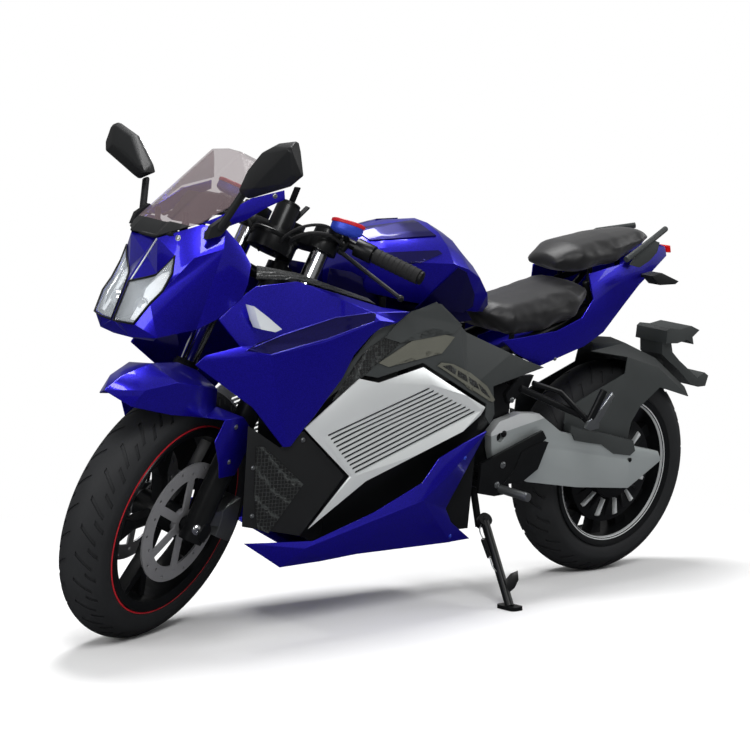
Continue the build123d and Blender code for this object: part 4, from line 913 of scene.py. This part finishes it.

# Headlamps: black housing, black bowl, projector and a white light bar behind the clear lens
lampEdge = [(788, 5, 799), (766, 40, 811), (755, 64, 820), (749, 88, 839), (740, 110, 864), (748, 118, 830),
            (767, 118, 793), (791, 110, 765), (816, 92, 721), (825, 42, 719), (819, 5, 716)]
lampMiddle = Vector((797, 62, 775))
for side in (1, -1):
    tag = "left" if side > 0 else "right"
    mesh = bmesh.new()
    flip = Matrix.Diagonal((1, side, 1, 1))
    rim, floorRing = [], []
    for ring, scale, back in ((rim, 0.99, Vector((-5, 0, 0))), (floorRing, 0.72, Vector((-30, 0, -4)))):
        for p in lampEdge:
            ring.append(mesh.verts.new((flip @ (lampMiddle + (Vector(p) - lampMiddle) * scale + back)) / 1000))
    for a in range(len(rim)):
        b = (a + 1) % len(rim)
        mesh.faces.new((rim[a], rim[b], floorRing[b], floorRing[a]))
    mesh.faces.new(floorRing)
    bmesh.ops.recalc_face_normals(mesh, faces=mesh.faces)
    bowl = pieceFrom(mesh, "lamp_bowl_" + tag, bikeToRow)
    applyModifier(bowl, "SOLIDIFY", thickness=0.002, offset=0)
    finishPiece(bowl, "body", "blackEnamel")
    tube("lamp_bezel_" + tag, [(x + 1, side * y, z) for x, y, z in lampEdge + lampEdge[:1]], 2.4, bikeToRow, "body",
         "blackEnamel", smooth=False)
    turnedPiece("projector_" + tag, [(23, 0), (25, 3), (23.5, 12), (20, 13), (19, 9), (17, 13), (9, 17), (0.5, 18.5)],
                aim((776, side * 62, 748), (0.95, side * 0.22, 0.12), bikeToRow), "body", "chromeSteel",
                32)
    barLine = [(733, 108, 852), (745, 108, 826), (762, 106, 792), (784, 100, 762), (804, 84, 726)]
    tube("light_bar_" + tag, [(x, side * y, z) for x, y, z in barLine], 3.2, bikeToRow, "body", "chromeSteel")
# a white plate behind the lens stands for a light's reflection in it: painted reflection
lampLean = (bikeAhead * 0.82 + bikeUp * 0.5 + bikeLeft * 0.25).normalized()
flatPlate("lamp_painted_reflection",
          [(146, 288), (160, 275), (170, 263), (168, 283), (150, 303), (138, 321), (130, 319), (143, 297)],
          bikePoint(768, 84, 784), lampLean, 0.002, "body", "lampPaintedReflection")
panels["headlights"] = workedCopy("headlights", "clearLens")
smoothShade(panels["headlights"], 60)

# Mirror heads: long creased leaf shells with the glass on their rear face
mirrorHeads = {
    "left": {
        "outline": [(239, 193), (249, 171), (265, 151), (280, 143), (296, 141), (298, 150), (301, 176), (288, 187),
                    (266, 190), (248, 199)],
        "spine": [(252, 189), (266, 171), (291, 148)], "at": (664, 300, 1070)},
    "right": {
        "outline": [(139, 179), (107, 151), (107, 141), (113, 124), (118, 122), (136, 135), (151, 165), (153, 173)],
        "spine": [(143, 172), (126, 152), (112, 144)], "at": (664, -240, 1050)},
}
for tag, head in mirrorHeads.items():
    point = bikePoint(*head["at"])
    rim = [onPlane(u, v, point, bikeAhead) for u, v in head["outline"]]
    middle = sum(rim, Vector()) / len(rim)
    mesh = bmesh.new()
    for p in rim:
        mesh.verts.new(p)
        mesh.verts.new(middle + (p - middle) * 0.95 - bikeAhead * 0.010)
        mesh.verts.new(middle + (p - middle) * 0.86 + bikeAhead * 0.011)
    for u, v in head["spine"]:
        mesh.verts.new(onPlane(u, v, point + bikeAhead * 0.026, bikeAhead))
    hull = bmesh.ops.convex_hull(mesh, input=mesh.verts[:])
    inner = [item for item in hull["geom_interior"] if isinstance(item, bmesh.types.BMVert)]
    bmesh.ops.delete(mesh, geom=inner, context="VERTS")
    bmesh.ops.dissolve_limit(mesh, angle_limit=math.radians(3), verts=mesh.verts, edges=mesh.edges)
    bmesh.ops.recalc_face_normals(mesh, faces=mesh.faces)
    shell = pieceFrom(mesh, "mirror_shell_" + tag, rowUnit)
    softenEdges(shell, 0.003, 3, 14, 35)
    finishPiece(shell, "body", "blackPlastic")
    mesh = bmesh.new()
    mesh.faces.new([mesh.verts.new(middle + (p - middle) * 0.88 - bikeAhead * 0.0105) for p in rim])
    pane = pieceFrom(mesh, "mirror_glass_" + tag, rowUnit)
    applyModifier(pane, "SOLIDIFY", thickness=0.0016, offset=0)
    finishPiece(pane, "body", "chromeSteel")

# Floor, light and camera
deselect()
bpy.ops.mesh.primitive_plane_add(size=60, location=(0, 0, -0.0002))
floor = bpy.context.object
floor.name = "studioFloor"
bpy.ops.object.transform_apply(location=True, rotation=True, scale=True)
floorFade = {"From Min": 1.0, "From Max": 2.1, "interpolation_type": "SMOOTHSTEP"}
# pale floor that keeps the bike's shadow near it and fades to the white background further off
floorPaint, floorTree, floorShader, floorPlace = newMaterial("floorPaint")
floorShader.inputs["Base Color"].default_value = hexColour("#F4F4F4")
setSockets(floorShader, {"Roughness": 0.9, "Specular IOR Level": 0.1})
far = addNode(floorTree, "ShaderNodeVectorMath", {"operation": "LENGTH"})
floorTree.links.new(floorPlace.outputs["Object"], far.inputs[0])
fade = addNode(floorTree, "ShaderNodeMapRange", floorFade, {"Value": far.outputs["Value"]})
cameraRay = addNode(floorTree, "ShaderNodeLightPath")
share = addNode(floorTree, "ShaderNodeMath", {"operation": "MULTIPLY"})
floorTree.links.new(fade.outputs[0], share.inputs[0])
floorTree.links.new(cameraRay.outputs["Is Camera Ray"], share.inputs[1])
whiteGlow = addNode(floorTree, "ShaderNodeEmission", {"Strength": 1.0})
floorMix = addNode(floorTree, "ShaderNodeMixShader")
floorTree.links.new(share.outputs[0], floorMix.inputs[0])
floorTree.links.new(floorShader.outputs[0], floorMix.inputs[1])
floorTree.links.new(whiteGlow.outputs[0], floorMix.inputs[2])
# bright panels would turn milky with a white floor in them, so their reflections see it dimmer
dimFloor = addNode(floorTree, "ShaderNodeBsdfDiffuse", {"Color": hexColour("#3A3A40")})
mirrorMix = addNode(floorTree, "ShaderNodeMixShader")
floorTree.links.new(cameraRay.outputs["Is Glossy Ray"], mirrorMix.inputs[0])
floorTree.links.new(floorMix.outputs[0], mirrorMix.inputs[1])
floorTree.links.new(dimFloor.outputs[0], mirrorMix.inputs[2])
floorTree.links.new(mirrorMix.outputs[0], floorTree.nodes["Material Output"].inputs["Surface"])
floor.data.materials.append(floorPaint)

world = bpy.data.worlds.new("studio")
scene.world = world
world.use_nodes = True
worldTree = world.node_tree
background = worldTree.nodes["Background"]
rays = addNode(worldTree, "ShaderNodeLightPath")
seen = addNode(worldTree, "ShaderNodeMath", {"operation": "MAXIMUM"})
worldTree.links.new(rays.outputs["Is Camera Ray"], seen.inputs[0])
worldTree.links.new(rays.outputs["Is Transmission Ray"], seen.inputs[1])
gloss = addNode(worldTree, "ShaderNodeMath", {"operation": "MULTIPLY_ADD"})
worldTree.links.new(rays.outputs["Is Glossy Ray"], gloss.inputs[0])
gloss.inputs[1].default_value = 0.03
gloss.inputs[2].default_value = 0.22
strength = addNode(worldTree, "ShaderNodeMath", {"operation": "MAXIMUM"})
worldTree.links.new(seen.outputs[0], strength.inputs[0])
worldTree.links.new(gloss.outputs[0], strength.inputs[1])
worldTree.links.new(strength.outputs[0], background.inputs["Strength"])
background.inputs["Color"].default_value = (1, 1, 1, 1)

lamps = {
    "key": {"at": (2.2, 3.4, 3.4), "to": (0.1, 0, 0.5), "power": 135, "size": 1.7},
    "front": {"at": (3.6, 0.6, 1.6), "to": (0.4, 0, 0.6), "power": 40, "size": 1.6},
    "rear": {"at": (-3.2, 1.6, 2.2), "to": (-0.4, 0, 0.6), "power": 45, "size": 2.0},
    "top": {"at": (0.0, -0.6, 4.2), "to": (0, 0, 0.5), "power": 175, "size": 1.8},
}
for name, facts in lamps.items():
    lampData = bpy.data.lights.new(name, "AREA")
    lampData.energy = facts["power"]
    lampData.size = facts["size"]
    lamp = bpy.data.objects.new(name, lampData)
    scene.collection.objects.link(lamp)
    lamp.location = facts["at"]
    lamp.rotation_euler = (Vector(facts["to"]) - Vector(facts["at"])).to_track_quat("-Z", "Y").to_euler()

cameraData = bpy.data.cameras.new("photoCamera")
cameraData.lens = 66.53
cameraData.sensor_width = 36.0
camera = bpy.data.objects.new("photoCamera", cameraData)
scene.collection.objects.link(camera)
camera.location = eye
camera.rotation_euler = cameraTurn.to_euler()
scene.camera = camera
scene.view_settings.view_transform = "Standard"
print("stage set")
